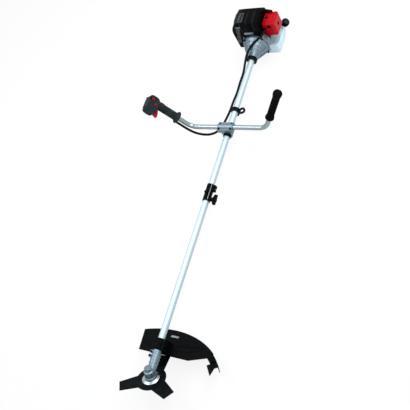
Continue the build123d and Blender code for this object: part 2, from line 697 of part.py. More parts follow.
# Latch plunger with its pull button
with BuildPart() as coupler_latch:
    disc(facing_z(LATCH_X, 0, TUBE_RADIUS + GAP), LATCH_RADIUS, COUPLER_RADIUS + LATCH_BOSS - TUBE_RADIUS)
    disc(facing_z(LATCH_X, 0, COUPLER_RADIUS + LATCH_BOSS + GAP), LATCH_RADIUS + 3, 7)

# Upper tube and drive shaft, with the socket that takes the lower shaft's square
UPPER_START = SPLIT + SPLIT_GAP
SOCKET_START = SPLIT - SOCKET_DEPTH / 2 + SPLIT_GAP
DRIVE_END = HUB_X + 12.0
with BuildPart() as upper_tube:
    disc(facing_x(UPPER_START), TUBE_RADIUS, UPPER_TUBE_END - UPPER_START, TUBE_BORE)

with BuildPart() as upper_drive_shaft:
    disc(facing_x(SOCKET_START), 2 * DRIVE_RADIUS, 2 * SOCKET_DEPTH)
    disc(facing_x(SOCKET_START), DRIVE_RADIUS, HUB_X - GAP - SOCKET_START)
    square_start = SOCKET_START + SOCKET_DEPTH
    block(facing_x(square_start), DRIVE_SQUARE, DRIVE_SQUARE, DRIVE_END - square_start)
    square = DRIVE_SQUARE + 2 * RUN
    block(facing_x(SOCKET_START), square, square, SOCKET_DEPTH + GAP, mode=Mode.SUBTRACT)

# Handlebar: one bent tube across the shaft
corner_right = at(HANDLE_X, BAR_RIGHT, BAR_HEIGHT)
corner_left = at(HANDLE_X, -BAR_LEFT, BAR_HEIGHT)
with BuildPart() as handlebar:
    with BuildLine() as bar_line:
        FilletPolyline(
            corner_right + RIGHT_AXIS * RIGHT_ARM,
            corner_right,
            corner_left,
            corner_left + LEFT_AXIS * LEFT_ARM,
            radius=BAR_BEND,
        )
    with BuildSketch(Plane(bar_line.line @ 0, z_dir=bar_line.line % 0)):
        Circle(BAR_RADIUS)
        Circle(BAR_RADIUS - BAR_WALL, mode=Mode.SUBTRACT)
    sweep(path=bar_line.line)

# Rubber damper round the tube, and the two halves of the clamp that hold the bar on it
DAMPER_RADIUS = TUBE_RADIUS + DAMPER_WALL
CLAMP_START = HANDLE_X - CLAMP_LENGTH / 2
clamp_seats = [
    facing_z(HANDLE_X + along * 14, side * 29, BAR_HEIGHT + CLAMP_PAD)
    for along in (-1, 1)
    for side in (-1, 1)
]
bar_plane = facing_y(HANDLE_X, CLAMP_SPAN / 2, BAR_HEIGHT)
with BuildPart() as handle_damper:
    disc(facing_x(CLAMP_START + CLAMP_LENGTH + 2), DAMPER_RADIUS, -DAMPER_LENGTH, TUBE_RADIUS + FIT)

with BuildPart() as handle_clamp_base:
    disc(facing_x(CLAMP_START), DAMPER_RADIUS + CLAMP_WALL, CLAMP_LENGTH)
    block(facing_z(HANDLE_X), CLAMP_LENGTH, 2 * (DAMPER_RADIUS + CLAMP_WALL), BAR_HEIGHT)
    block(facing_z(HANDLE_X, 0, BAR_HEIGHT), CLAMP_LENGTH, CLAMP_SPAN, -CLAMP_BASE_DROP)
    disc(facing_x(CLAMP_START), DAMPER_RADIUS + FIT, CLAMP_LENGTH, mode=Mode.SUBTRACT)
    disc(bar_plane, BAR_RADIUS + FIT, CLAMP_SPAN, mode=Mode.SUBTRACT)
    screw_holes(clamp_seats)

with BuildPart() as handle_clamp_cap:
    disc(bar_plane, BAR_RADIUS + CLAMP_WALL, CLAMP_SPAN)
    block(facing_z(HANDLE_X, 0, BAR_HEIGHT), CLAMP_LENGTH, CLAMP_SPAN, CLAMP_PAD)
    disc(bar_plane, BAR_RADIUS + FIT, CLAMP_SPAN, mode=Mode.SUBTRACT)
    split(bisect_by=facing_z(0, 0, BAR_HEIGHT + GAP), keep=Keep.TOP)
    screw_holes(clamp_seats)
    for seat in clamp_seats:
        disc(seat, SCREW_HEAD_RADIUS + GAP, SCREW_HEAD_HEIGHT + CLAMP_WALL, mode=Mode.SUBTRACT)

# Left grip: flared foot, waist and bulb
left_plane = Plane(corner_left, x_dir=LEFT_AXIS, z_dir=Vector(1, 0, 0).cross(LEFT_AXIS))
with BuildPart() as left_grip:
    end = LEFT_GRIP_START + LEFT_GRIP_LENGTH
    bore = BAR_RADIUS + FIT
    profile = [
        (LEFT_GRIP_START, bore),
        (LEFT_GRIP_START, bore + 6),
        (LEFT_GRIP_START + 4, bore + 9),
        (LEFT_GRIP_START + 14, bore + 7.5),
        (LEFT_GRIP_START + 28, bore + 3.8),
        (end - 32, bore + 4.2),
        (end - 20, bore + 7.5),
        (end - 8, bore + 8.5),
        (end - 2, bore + 6),
        (end, bore),
        (end, 0),
        (LEFT_ARM + GAP, 0),
        (LEFT_ARM + GAP, bore),
    ]
    turned(left_plane, profile)

# Throttle grip: own x up the right arm, own y to the front, own z to the thumb's side
throttle = Plane(corner_right, x_dir=RIGHT_AXIS, z_dir=Vector(1, 0, 0).cross(RIGHT_AXIS))
TRIGGER_SLOT = TRIGGER_HALF + GAP
LOCKOUT_SLOT = LOCKOUT_HALF + GAP
SCREW_SINK = 8.0
SLOT_FLOOR = 12.0
PIN_END = 9.0


def on_throttle(x, y, z):
    """Plane parallel to the split of the throttle housing, at a point given in its own axes."""
    return Plane(throttle.from_local_coords(Vector(x, y, z)), x_dir=throttle.x_dir, z_dir=throttle.z_dir)


housing_seats = [
    Plane(on_throttle(x, y, -SCREW_SINK).origin, x_dir=throttle.x_dir, z_dir=-throttle.z_dir)
    for x, y in ((HEAD_START + 52, HEAD_FRONT - 16), (HEAD_START + 52, 14 - HEAD_BACK))
]


def housing_body():
    """Grip, flange and head of the throttle housing with every hollow, before it is split."""
    grip = [
        (THROTTLE_START, 0),
        (THROTTLE_START, FLANGE_HALF - 3),
        (THROTTLE_START + FLANGE_LENGTH / 2, FLANGE_HALF),
        (THROTTLE_START + FLANGE_LENGTH, FLANGE_HALF - 3),
        (THROTTLE_START + FLANGE_LENGTH + 6, GRIP_HALF),
        (HEAD_START + 4, GRIP_HALF),
        (HEAD_START + 4, 0),
    ]
    turned(throttle, grip)
    with BuildSketch(throttle.offset(-HEAD_DEPTH)) as crown:
        with Locations((HEAD_START + HEAD_LENGTH / 2, (HEAD_FRONT - HEAD_BACK) / 2)):
            RectangleRounded(HEAD_LENGTH, HEAD_FRONT + HEAD_BACK, HEAD_LENGTH / 3)
    extrude(crown.sketch, amount=2 * HEAD_DEPTH)
    arm = Plane(corner_right, z_dir=RIGHT_AXIS)
    disc(arm, BAR_RADIUS + FIT, RIGHT_ARM + GAP, mode=Mode.SUBTRACT)
    front = [(RIGHT_ARM + 6, 5), (HEAD_START + 18, 5), (HEAD_START + 18, 70), (RIGHT_ARM + 6, 70)]
    slab(throttle.offset(-TRIGGER_SLOT), front, 2 * TRIGGER_SLOT, mode=Mode.SUBTRACT)
    back = [(RIGHT_ARM + 8, -5), (HEAD_START + 10, -5), (HEAD_START + 10, -45), (RIGHT_ARM + 8, -45)]
    slab(throttle.offset(-LOCKOUT_SLOT), back, 2 * LOCKOUT_SLOT, mode=Mode.SUBTRACT)
    for pivot in (TRIGGER_PIVOT, LOCKOUT_PIVOT):
        disc(on_throttle(*pivot, -PIN_END - GAP), PIVOT_RADIUS + FIT, PIN_END, mode=Mode.SUBTRACT)
    slot = SWITCH_LENGTH + SWITCH_TRAVEL + 2 * GAP
    middle = SWITCH_PLACE[0] + SWITCH_TRAVEL / 2
    depth = HEAD_DEPTH - SLOT_FLOOR
    slot_floor = on_throttle(middle, SWITCH_PLACE[1], SLOT_FLOOR)
    block(slot_floor, slot, SWITCH_WIDTH + 2 * GAP, depth, mode=Mode.SUBTRACT)
    disc(on_throttle(*BUTTON_PLACE, SLOT_FLOOR - 3), BUTTON_RADIUS + GAP, depth + 3, mode=Mode.SUBTRACT)
    screw_holes(housing_seats)
    for seat in housing_seats:
        disc(seat, SCREW_HEAD_RADIUS + GAP, HEAD_DEPTH, mode=Mode.SUBTRACT)


with BuildPart() as throttle_housing_inner:
    housing_body()
    split(bisect_by=throttle, keep=Keep.TOP)
    for pivot in (TRIGGER_PIVOT, LOCKOUT_PIVOT):
        disc(on_throttle(*pivot, -PIN_END), PIVOT_RADIUS, 2 * PIN_END)

with BuildPart() as throttle_housing_outer:
    housing_body()
    split(bisect_by=throttle, keep=Keep.BOTTOM)

# Trigger, lockout lever, stop switch and fast idle button
px, py = TRIGGER_PIVOT
with BuildPart() as throttle_trigger:
    finger_side = [
        (px + 5, py - 7),
        (px + 5, py + 30),
        (px - 6, py + 38),
        (px - 18, py + 42),
        (px - 23, py + 39),
        (px - 22, py + 28),
        (px - 18, py + 10),
        (px - 8, py - 7),
    ]
    slab(throttle.offset(-TRIGGER_HALF), finger_side, 2 * TRIGGER_HALF)
    disc(on_throttle(px, py, -TRIGGER_HALF), PIVOT_RADIUS + RUN, 2 * TRIGGER_HALF, mode=Mode.SUBTRACT)

lx, ly = LOCKOUT_PIVOT
with BuildPart() as lockout_lever:
    palm_side = [
        (lx + 5, ly + 4),
        (lx + 5, ly - 4),
        (lx - 2, ly - 7),
        (lx - 18, ly - 9),
        (lx - 29, ly - 8),
        (lx - 32, ly - 4),
        (lx - 29, ly + 2),
        (lx - 8, ly + 5),
    ]
    slab(throttle.offset(-LOCKOUT_HALF), palm_side, 2 * LOCKOUT_HALF)
    disc(on_throttle(lx, ly, -LOCKOUT_HALF), PIVOT_RADIUS + RUN, 2 * LOCKOUT_HALF, mode=Mode.SUBTRACT)

CONTROL_FOOT = SLOT_FLOOR + GAP
CONTROL_HEIGHT = HEAD_DEPTH - CONTROL_FOOT
with BuildPart() as stop_switch:
    block(on_throttle(*SWITCH_PLACE, CONTROL_FOOT), SWITCH_LENGTH, SWITCH_WIDTH, CONTROL_HEIGHT + SWITCH_RISE)

with BuildPart() as fast_idle_button:
    disc(on_throttle(*BUTTON_PLACE, CONTROL_FOOT), BUTTON_RADIUS, CONTROL_HEIGHT + BUTTON_RISE)

# Throttle cable: from the foot of the throttle grip, under the clamp and along the tube to the carburettor
CARB_FRONT = CRANK_X - CARB_LENGTH / 2
cable_exit = throttle.from_local_coords(Vector(THROTTLE_START, CABLE_SIDE, 0))
CABLE_POINTS = [
    cable_exit,
    cable_exit - RIGHT_AXIS * 32,
    at(1085, 184, 46),
    at(1083, 158, 22),
    at(1084, 126, 6),
    at(1089, 90, -1),
    at(1102, 58, 1),
    at(1131, 37, 5),
    at(1172, 26, 8),
    at(1218, 23.5, 3),
    at(1265, 19.4, 8),
    at(1320, 18.2, 2),
    at(1375, 18.2, 7),
    at(1430, 18.2, 3),
    at(1474, 19.5, 14),
    at(1510, 16, 31),
    at(1545, 4, 43),
    at(1570, -20, 56),
    at(1594, -46, 60),
    at(1630, -57, 62),
    at(CARB_FRONT, -57, 62),
]


def routed(points):
    """Straight runs joined by tangent arcs, each arc as large as its two runs allow; gives the radii."""
    radii = []
    start = points[0]
    for before, corner, after in zip(points, points[1:], points[2:]):
        into = (corner - before).normalized()
        out = (after - corner).normalized()
        cut = 0.45 * min((corner - before).length, (after - corner).length)
        inward = (out - into).normalized()
        half_turn = radians(into.get_angle(out)) / 2
        radius = cut / tan(half_turn)
        middle = corner + inward * (radius / cos(half_turn) - radius)
        Line(start, corner - into * cut)
        ThreePointArc(corner - into * cut, middle, corner + out * cut)
        start = corner + out * cut
        radii.append(radius)
    Line(start, points[-1])
    return radii


with BuildPart() as throttle_cable:
    with BuildLine() as cable_line:
        cable_radii = routed(CABLE_POINTS)
    with BuildSketch(Plane(cable_line.line @ 0, z_dir=cable_line.line % 0)):
        Circle(CABLE_RADIUS)
    sweep(path=cable_line.line)
print("Cable bend radii:", [round(radius) for radius in cable_radii])

# Harness ring: band round the tube with an eye on the left and a pinch screw below
BAND_RADIUS = TUBE_RADIUS + HARNESS_WALL
harness_seat = facing_y(HARNESS_X, -LUG_HALF, -BAND_RADIUS - SCREW_HEAD_RADIUS + 1)
with BuildPart() as harness_ring:
    disc(facing_x(HARNESS_X - HARNESS_WIDTH / 2), BAND_RADIUS, HARNESS_WIDTH)
    eye = facing_z(HARNESS_X, -HARNESS_REACH, -EYE_THICKNESS / 2)
    disc(eye, EYE_RADIUS + EYE_WALL, EYE_THICKNESS)
    tab = facing_z(HARNESS_X, -HARNESS_REACH / 2, -EYE_THICKNESS / 2)
    block(tab, HARNESS_WIDTH, HARNESS_REACH, EYE_THICKNESS)
    block(harness_seat, HARNESS_WIDTH, 3 * SCREW_HEAD_RADIUS, -2 * LUG_HALF)
    disc(eye, EYE_RADIUS, EYE_THICKNESS, mode=Mode.SUBTRACT)
    disc(facing_x(HARNESS_X - HARNESS_WIDTH / 2), TUBE_RADIUS + FIT, HARNESS_WIDTH, mode=Mode.SUBTRACT)
    screw_holes([harness_seat])

# Rubber collar, clutch housing and the clutch drum that drives the shaft
CLUTCH_START = COLLAR_X + COLLAR_LENGTH
CLUTCH_FLANGE = CLUTCH_RADIUS + 3.0
FLANGE_WIDTH = 6.0
LUG_RADIUS = SCREW_HEAD_RADIUS + 2.0
LUG_LENGTH = 15.0
clutch_seats = [
    Plane(at(CLUTCH_END - FLANGE_WIDTH, *polar(CLUTCH_FLANGE, radians(angle))), z_dir=(-1, 0, 0))
    for angle in (45, 135, 225, 315)
]
with BuildPart() as engine_collar:
    disc(facing_x(COLLAR_X), COLLAR_RADIUS, COLLAR_LENGTH, TUBE_RADIUS + FIT)

with BuildPart() as clutch_housing:
    shell = [
        (CLUTCH_START, TUBE_RADIUS + FIT),
        (CLUTCH_START, CLUTCH_NECK_RADIUS),
        (CLUTCH_CONE_START, CLUTCH_NECK_RADIUS),
        (DRUM_X, DRUM_RADIUS + 9),
        (CLUTCH_END - FLANGE_WIDTH, CLUTCH_RADIUS - 2),
        (CLUTCH_END - FLANGE_WIDTH, CLUTCH_FLANGE),
        (CLUTCH_END, CLUTCH_FLANGE),
        (CLUTCH_END, CLUTCH_RADIUS - FAN_WALL - 1),
        (CLUTCH_END - FLANGE_WIDTH, CLUTCH_RADIUS - FAN_WALL - 1),
        (DRUM_X, DRUM_RADIUS + 4),
        (DRUM_X - 1.5, DRUM_RADIUS + 2),
        (DRUM_X - 1.5, HUB_RADIUS + RUN),
        (UPPER_TUBE_END, HUB_RADIUS + RUN),
        (UPPER_TUBE_END, TUBE_RADIUS + FIT),
    ]
    turned(shaft_axis, shell)
    for seat in clutch_seats:
        disc(seat, LUG_RADIUS, -FLANGE_WIDTH)
    screw_holes(clutch_seats)

with BuildPart() as clutch_drum:
    disc(facing_x(HUB_X), HUB_RADIUS, DRUM_X - HUB_X)
    disc(facing_x(DRUM_X), DRUM_RADIUS, DRUM_DEPTH)
    cup = facing_x(DRUM_X + DRUM_WALL)
    disc(cup, DRUM_RADIUS - DRUM_WALL, DRUM_DEPTH - DRUM_WALL, mode=Mode.SUBTRACT)
    square = DRIVE_SQUARE + 2 * FIT
    depth = DRIVE_END + GAP - HUB_X
    block(facing_x(HUB_X), square, square, depth, mode=Mode.SUBTRACT)

# Clutch shoes on the flywheel, and the flywheel with its fan vanes
with BuildPart() as clutch_shoes:
    front = DRUM_X + DRUM_WALL + 1.5
    with BuildSketch(facing_x(front)):
        Circle(DRUM_RADIUS - DRUM_WALL - SHOE_GAP)
        Circle(JOURNAL_RADIUS + 6, mode=Mode.SUBTRACT)
        Rectangle(2 * DRUM_RADIUS, 8, mode=Mode.SUBTRACT)
    extrude(amount=FLYWHEEL_X - front)

FLYWHEEL_END = FLYWHEEL_X + FLYWHEEL_WIDTH
with BuildPart() as flywheel:
    disc(facing_x(FLYWHEEL_X), FLYWHEEL_RADIUS, FLYWHEEL_WIDTH)
    disc(facing_x(FLYWHEEL_END), JOURNAL_RADIUS + 6, VANE_HEIGHT)
    with BuildSketch(facing_x(FLYWHEEL_END)):
        with PolarLocations(FLYWHEEL_RADIUS - 12, VANE_COUNT):
            Rectangle(22, 2.5)
    extrude(amount=VANE_HEIGHT)
    depth = FLYWHEEL_WIDTH + VANE_HEIGHT
    disc(facing_x(FLYWHEEL_X), JOURNAL_RADIUS + FIT, depth, mode=Mode.SUBTRACT)

# Crankcase halves, meeting at the cylinder axis
FAN_END = FAN_BACK + FAN_WALL
CHAMBER_START = CRANK_X - CHAMBER_HALF
CASE_END = CRANK_X + CHAMBER_HALF + CASE_END_WALL
PAD_HALF = CHAMBER_HALF + CASE_END_WALL


def case_half(side):
    """Cylinder seat, tank feet and crank chamber of one crankcase half; side -1 is the front."""
    middle = CRANK_X + side * PAD_HALF / 2
    block(facing_z(middle), PAD_HALF, 2 * CASE_RADIUS - 16, DECK)
    block(facing_z(middle, 0, -TANK_TOP), PAD_HALF, CASE_RADIUS, TANK_TOP)
    block(facing_z(middle, 0, DECK), PAD_HALF, 2 * CASE_RADIUS, CASE_RADIUS, mode=Mode.SUBTRACT)
    disc(facing_x(CRANK_X), CHAMBER_RADIUS, side * CHAMBER_HALF, mode=Mode.SUBTRACT)
    disc(facing_z(CRANK_X), BORE_RADIUS + GAP, DECK, mode=Mode.SUBTRACT)


with BuildPart() as crankcase_front:
    disc(facing_x(CLUTCH_END), CLUTCH_RADIUS, FAN_END - CLUTCH_END)
    disc(facing_x(FAN_END), CASE_RADIUS, CRANK_X - FAN_END)
    for seat in clutch_seats:
        disc(seat.offset(-FLANGE_WIDTH), LUG_RADIUS, -LUG_LENGTH)
    fan_depth = FAN_BACK - CLUTCH_END
    disc(facing_x(CLUTCH_END), CLUTCH_RADIUS - FAN_WALL - 1, fan_depth, mode=Mode.SUBTRACT)
    case_half(-1)
    disc(facing_x(FAN_BACK), JOURNAL_RADIUS + RUN, CHAMBER_START - FAN_BACK, mode=Mode.SUBTRACT)
    screw_holes(clutch_seats)

with BuildPart() as crankcase_rear:
    disc(facing_x(CRANK_X), CASE_RADIUS, CASE_END - CRANK_X)
    case_half(1)
    disc(facing_x(CRANK_X + CHAMBER_HALF), JOURNAL_RADIUS + RUN, CASE_END_WALL, mode=Mode.SUBTRACT)

# Crankshaft halves; the pin between the webs is left out so that crank and piston can move by themselves
WEB_FACE = ROD_THICKNESS / 2 + 2.0
CRANK_NOSE = FLYWHEEL_X - 4.0
CRANK_TAIL = CASE_END + 16.0
with BuildPart() as crankshaft_front:
    disc(facing_x(CRANK_NOSE), JOURNAL_RADIUS, CRANK_X - WEB_FACE - CRANK_NOSE)
    disc(facing_x(CRANK_X - WEB_FACE), WEB_RADIUS, -WEB_WIDTH)

with BuildPart() as crankshaft_rear:
    disc(facing_x(CRANK_X + WEB_FACE), JOURNAL_RADIUS, CRANK_TAIL - CRANK_X - WEB_FACE)
    disc(facing_x(CRANK_X + WEB_FACE), WEB_RADIUS, WEB_WIDTH)

# Connecting rod with its pressed-in pin, piston at the top of its stroke, cylinder and spark plug
ROD_LOW = STROKE / 2
ROD_HIGH = ROD_LOW + ROD_LENGTH
CROWN = ROD_HIGH + PISTON_PIN_DROP
PIN_RADIUS = 5.0
PISTON_HOLLOW = BORE_RADIUS - 3.5
with BuildPart() as connecting_rod:
    with BuildSketch(facing_x(CRANK_X - ROD_THICKNESS / 2)):
        with Locations((0, ROD_HIGH)):
            Circle(PIN_RADIUS + 3)
        with Locations((0, ROD_LOW)):
            Circle(PIN_RADIUS + 6)
        with Locations((0, (ROD_LOW + ROD_HIGH) / 2)):
            Rectangle(PIN_RADIUS + 4, ROD_LENGTH)
        with Locations((0, ROD_LOW)):
            Circle(PIN_RADIUS + 2, mode=Mode.SUBTRACT)
    extrude(amount=ROD_THICKNESS)
    pin_half = BORE_RADIUS - 3.0
    disc(facing_x(CRANK_X - pin_half, 0, ROD_HIGH), PIN_RADIUS, 2 * pin_half)

with BuildPart() as piston:
    disc(facing_z(CRANK_X, 0, CROWN), BORE_RADIUS - RUN, -PISTON_LENGTH)
    disc(facing_z(CRANK_X, 0, CROWN - 5), PISTON_HOLLOW, 5 - PISTON_LENGTH, mode=Mode.SUBTRACT)
    pin_way = facing_x(CRANK_X - BORE_RADIUS, 0, ROD_HIGH)
    disc(pin_way, PIN_RADIUS + FIT, 2 * BORE_RADIUS, mode=Mode.SUBTRACT)

BARREL_TOP = CROWN + HEAD_CLEARANCE
CYLINDER_TOP = BARREL_TOP + 6.0
PORT_FACE = 36.0
PORT_HALF = PORT_RADIUS + 7.0
FIN_START = CYLINDER_TOP - 1.0 - FIN_PITCH * (FIN_COUNT - 1) - FIN_THICKNESS
port_walls = [(facing_y(CRANK_X, 0, INTAKE_LEVEL), 1), (facing_y(CRANK_X, 0, EXHAUST_LEVEL), -1)]
with BuildPart() as cylinder:
    block(facing_z(CRANK_X, 0, DECK), 2 * PAD_HALF, 2 * CASE_RADIUS - 16, 6)
    for index in range(FIN_COUNT):
        block(facing_z(CRANK_X, 0, FIN_START + index * FIN_PITCH), FIN_LENGTH, FIN_WIDTH, FIN_THICKNESS)
    for port, way in port_walls:
        face = port.offset(way * BORE_RADIUS)
        block(face, 2 * PORT_HALF + 6, 2 * PORT_HALF + 2, way * FIN_WIDTH, mode=Mode.SUBTRACT)
    disc(facing_z(CRANK_X, 0, DECK), BORE_RADIUS + CYLINDER_WALL, CYLINDER_TOP - DECK)
    for port, way in port_walls:
        face = port.offset(way * BORE_RADIUS)
        block(face, 2 * PORT_HALF, 2 * PORT_HALF, way * (PORT_FACE - BORE_RADIUS))
    for port, way in port_walls:
        disc(port, PORT_RADIUS, way * PORT_FACE, mode=Mode.SUBTRACT)
    disc(facing_z(CRANK_X, 0, DECK), BORE_RADIUS, BARREL_TOP - DECK, mode=Mode.SUBTRACT)
    plug_hole = facing_z(CRANK_X, 0, BARREL_TOP)
    disc(plug_hole, PLUG_RADIUS + FIT, CYLINDER_TOP - BARREL_TOP, mode=Mode.SUBTRACT)

with BuildPart() as spark_plug:
    disc(facing_z(CRANK_X, 0, BARREL_TOP + GAP), PLUG_RADIUS, CYLINDER_TOP - BARREL_TOP - GAP)
    with BuildSketch(facing_z(CRANK_X, 0, CYLINDER_TOP)):
        RegularPolygon(PLUG_RADIUS + 4, 6)
    extrude(amount=6)
    disc(facing_z(CRANK_X, 0, CYLINDER_TOP + 6), PLUG_RADIUS - 1, 16)

# Muffler: hollow box with an inlet collar on the cylinder's port and an outlet to the front
with BuildPart() as muffler:
    tall = MUFFLER_HIGH - MUFFLER_LOW
    deep = MUFFLER_OUTER - MUFFLER_INNER
    middle = (MUFFLER_HIGH + MUFFLER_LOW) / 2
    skin = 2 * MUFFLER_WALL
    with BuildSketch(facing_y(CRANK_X, MUFFLER_OUTER, middle)):
        RectangleRounded(MUFFLER_LENGTH, tall, MUFFLER_CORNER)
    extrude(amount=deep)
    disc(facing_y(CRANK_X, MUFFLER_INNER, EXHAUST_LEVEL), PORT_RADIUS + 5, MUFFLER_INNER - PORT_FACE)
    with BuildSketch(facing_y(CRANK_X, MUFFLER_OUTER - MUFFLER_WALL, middle)):
        RectangleRounded(MUFFLER_LENGTH - skin, tall - skin, MUFFLER_CORNER - MUFFLER_WALL)
    extrude(amount=deep - skin, mode=Mode.SUBTRACT)
    inlet = facing_y(CRANK_X, MUFFLER_OUTER - MUFFLER_WALL, EXHAUST_LEVEL)
    disc(inlet, PORT_RADIUS, MUFFLER_OUTER, mode=Mode.SUBTRACT)
    outlet = facing_x(CRANK_X, MUFFLER_OUTER - 2 * MUFFLER_CORNER, middle)
    disc(outlet, PORT_RADIUS - 4, -MUFFLER_LENGTH, mode=Mode.SUBTRACT)

# Engine cover: moulded hood over cylinder and muffler, open below, with louvres at the muffler's side
LEG = 32.0
LEFT_FOOT = 20.0


def hood_form(inset):
    """Hood seen as a solid, with its roof falling to the rear, drawn in by an inset and longer below it."""
    foot = LEFT_FOOT - 4 * inset
    toe = COVER_BOTTOM - inset
    crown = (COVER_CROWN, COVER_TOP - inset)
    shoulder = (COVER_RIGHT - inset, COVER_SHOULDER)
    with BuildSketch(facing_x(COVER_FRONT + inset)) as section:
        with BuildLine():
            SagittaArc(crown, shoulder, COVER_BULGE)
            Polyline(
                shoulder,
                (COVER_RIGHT - inset, toe),
                (COVER_RIGHT - LEG + inset, toe),
                (COVER_RIGHT - LEG + inset, foot),
                (inset - COVER_LEFT, foot),
                (inset - COVER_LEFT, COVER_TOP - COVER_BEVEL),
                (COVER_BEVEL - COVER_LEFT, COVER_TOP - inset),
                crown,
            )
        make_face()
    extrude(section.sketch, amount=COVER_REAR - COVER_FRONT - 2 * inset)
    drop = inset / cos(atan(COVER_FALL / COVER_SLOPE))
    roof = [
        (COVER_REAR - 2 * COVER_SLOPE - drop * COVER_SLOPE / COVER_FALL, COVER_TOP + COVER_FALL),
        (COVER_REAR, COVER_TOP - COVER_FALL - drop),
        (COVER_REAR, COVER_TOP + COVER_FALL),
    ]
    slab(facing_y(0, COVER_RIGHT, 0), roof, COVER_RIGHT + COVER_LEFT, mode=Mode.SUBTRACT)
    front_edges = faces().sort_by(Axis.X)[0].edges().sort_by(Axis.Z)[3:]
    fillet(front_edges, COVER_ROUND - inset)


with BuildPart() as hood_space:
    hood_form(COVER_WALL)

with BuildPart() as engine_cover:
    hood_form(0)
    add(hood_space.part, mode=Mode.SUBTRACT)
    disc(facing_x(COVER_FRONT), CLUTCH_RADIUS + GAP, COVER_REAR - COVER_FRONT, mode=Mode.SUBTRACT)
    for seat in clutch_seats:
        disc(seat.offset(-FLANGE_WIDTH), LUG_RADIUS + GAP, -LUG_LENGTH, mode=Mode.SUBTRACT)
    for index in range(LOUVRE_COUNT):
        level = COVER_BOTTOM + LOUVRE_PITCH * (index + 1)
        slot = facing_x(COVER_FRONT, COVER_RIGHT - LOUVRE_WIDTH / 2 - 6, level)
        block(slot, LOUVRE_WIDTH, LOUVRE_HEIGHT, COVER_WALL, mode=Mode.SUBTRACT)
    window = facing_y(CRANK_X, 0, INTAKE_LEVEL)
    block(window, 2 * PORT_HALF + 8, 2 * PORT_HALF + 8, COVER_LEFT, mode=Mode.SUBTRACT)

# Recoil starter at the rear, with its pull handle
STARTER_NECK = 20.0
STARTER_END = CASE_END + STARTER_LENGTH
HANDLE_LEVEL = -34.0
HANDLE_STATION = CASE_END + 36.0
GUIDE_END = STARTER_RADIUS + 4.0
with BuildPart() as starter_housing:
    outer = [
        (CASE_END, 0),
        (CASE_END, CASE_RADIUS),
        (CASE_END + STARTER_NECK - 2, CASE_RADIUS),
        (CASE_END + STARTER_NECK, STARTER_RADIUS),
        (STARTER_END - 8, STARTER_RADIUS),
        (STARTER_END, STARTER_RADIUS - 8),
        (STARTER_END, 0),
    ]
    turned(shaft_axis, outer)
    guide = facing_y(HANDLE_STATION, GUIDE_END, HANDLE_LEVEL)
    disc(guide, 8, GUIDE_END - STARTER_RADIUS / 2)
    inner = [
        (CASE_END, 0),
        (CASE_END, CASE_RADIUS - STARTER_WALL),
        (CASE_END + STARTER_NECK + STARTER_WALL, CASE_RADIUS - STARTER_WALL),
        (CASE_END + STARTER_NECK + STARTER_WALL, STARTER_RADIUS - STARTER_WALL),
        (STARTER_END - 8, STARTER_RADIUS - STARTER_WALL),
        (STARTER_END - STARTER_WALL, STARTER_RADIUS - 9),
        (STARTER_END - STARTER_WALL, 0),
    ]
    turned(shaft_axis, inner, mode=Mode.SUBTRACT)
    with BuildSketch(facing_x(STARTER_END)):
        with PolarLocations(STARTER_RADIUS * 0.55, 10):
            Rectangle(24, 5)
    extrude(amount=-STARTER_WALL, mode=Mode.SUBTRACT)

with BuildPart() as starter_handle:
    stem = facing_y(HANDLE_STATION, GUIDE_END + GAP, HANDLE_LEVEL)
    disc(stem, 6, -10)
    block(stem.offset(-10), 40, 13, -11)

# Carburettor on the intake port
SNOUT_RADIUS = PORT_RADIUS + 3.0
CARB_FACE = CLEANER_INNER + GAP
with BuildPart() as carburettor:
    port = facing_y(CRANK_X, 0, INTAKE_LEVEL)
    disc(port.offset(PORT_FACE), SNOUT_RADIUS, CARB_FACE - PORT_FACE)
    block(port.offset(CARB_FACE), CARB_LENGTH, CARB_LENGTH, CARB_DEPTH)
    disc(port.offset(PORT_FACE), PORT_RADIUS, CARB_FACE + CARB_DEPTH - PORT_FACE, mode=Mode.SUBTRACT)

# Air cleaner: base plate and cover
CLEANER_X = CLEANER_FRONT + CLEANER_LENGTH / 2
CLEANER_LEVEL = (CLEANER_LOW + CLEANER_HIGH) / 2
CLEANER_HEIGHT = CLEANER_HIGH - CLEANER_LOW
CHOKE_SIDE = -CLEANER_INNER - CARB_DEPTH / 2
with BuildPart() as air_cleaner_base:
    high = CLEANER_HIGH + BASE_BORDER
    plate = facing_y(CLEANER_X, BASE_THICKNESS - CLEANER_INNER, (BASE_LOW + high) / 2)
    block(plate, CLEANER_LENGTH + 2 * BASE_BORDER, high - BASE_LOW, BASE_THICKNESS)
    disc(facing_y(CRANK_X, 0, INTAKE_LEVEL), SNOUT_RADIUS + GAP, CLEANER_INNER, mode=Mode.SUBTRACT)
    disc(facing_y(PRIMER_X, 0, PRIMER_LEVEL), PRIMER_RADIUS + GAP, CLEANER_INNER, mode=Mode.SUBTRACT)

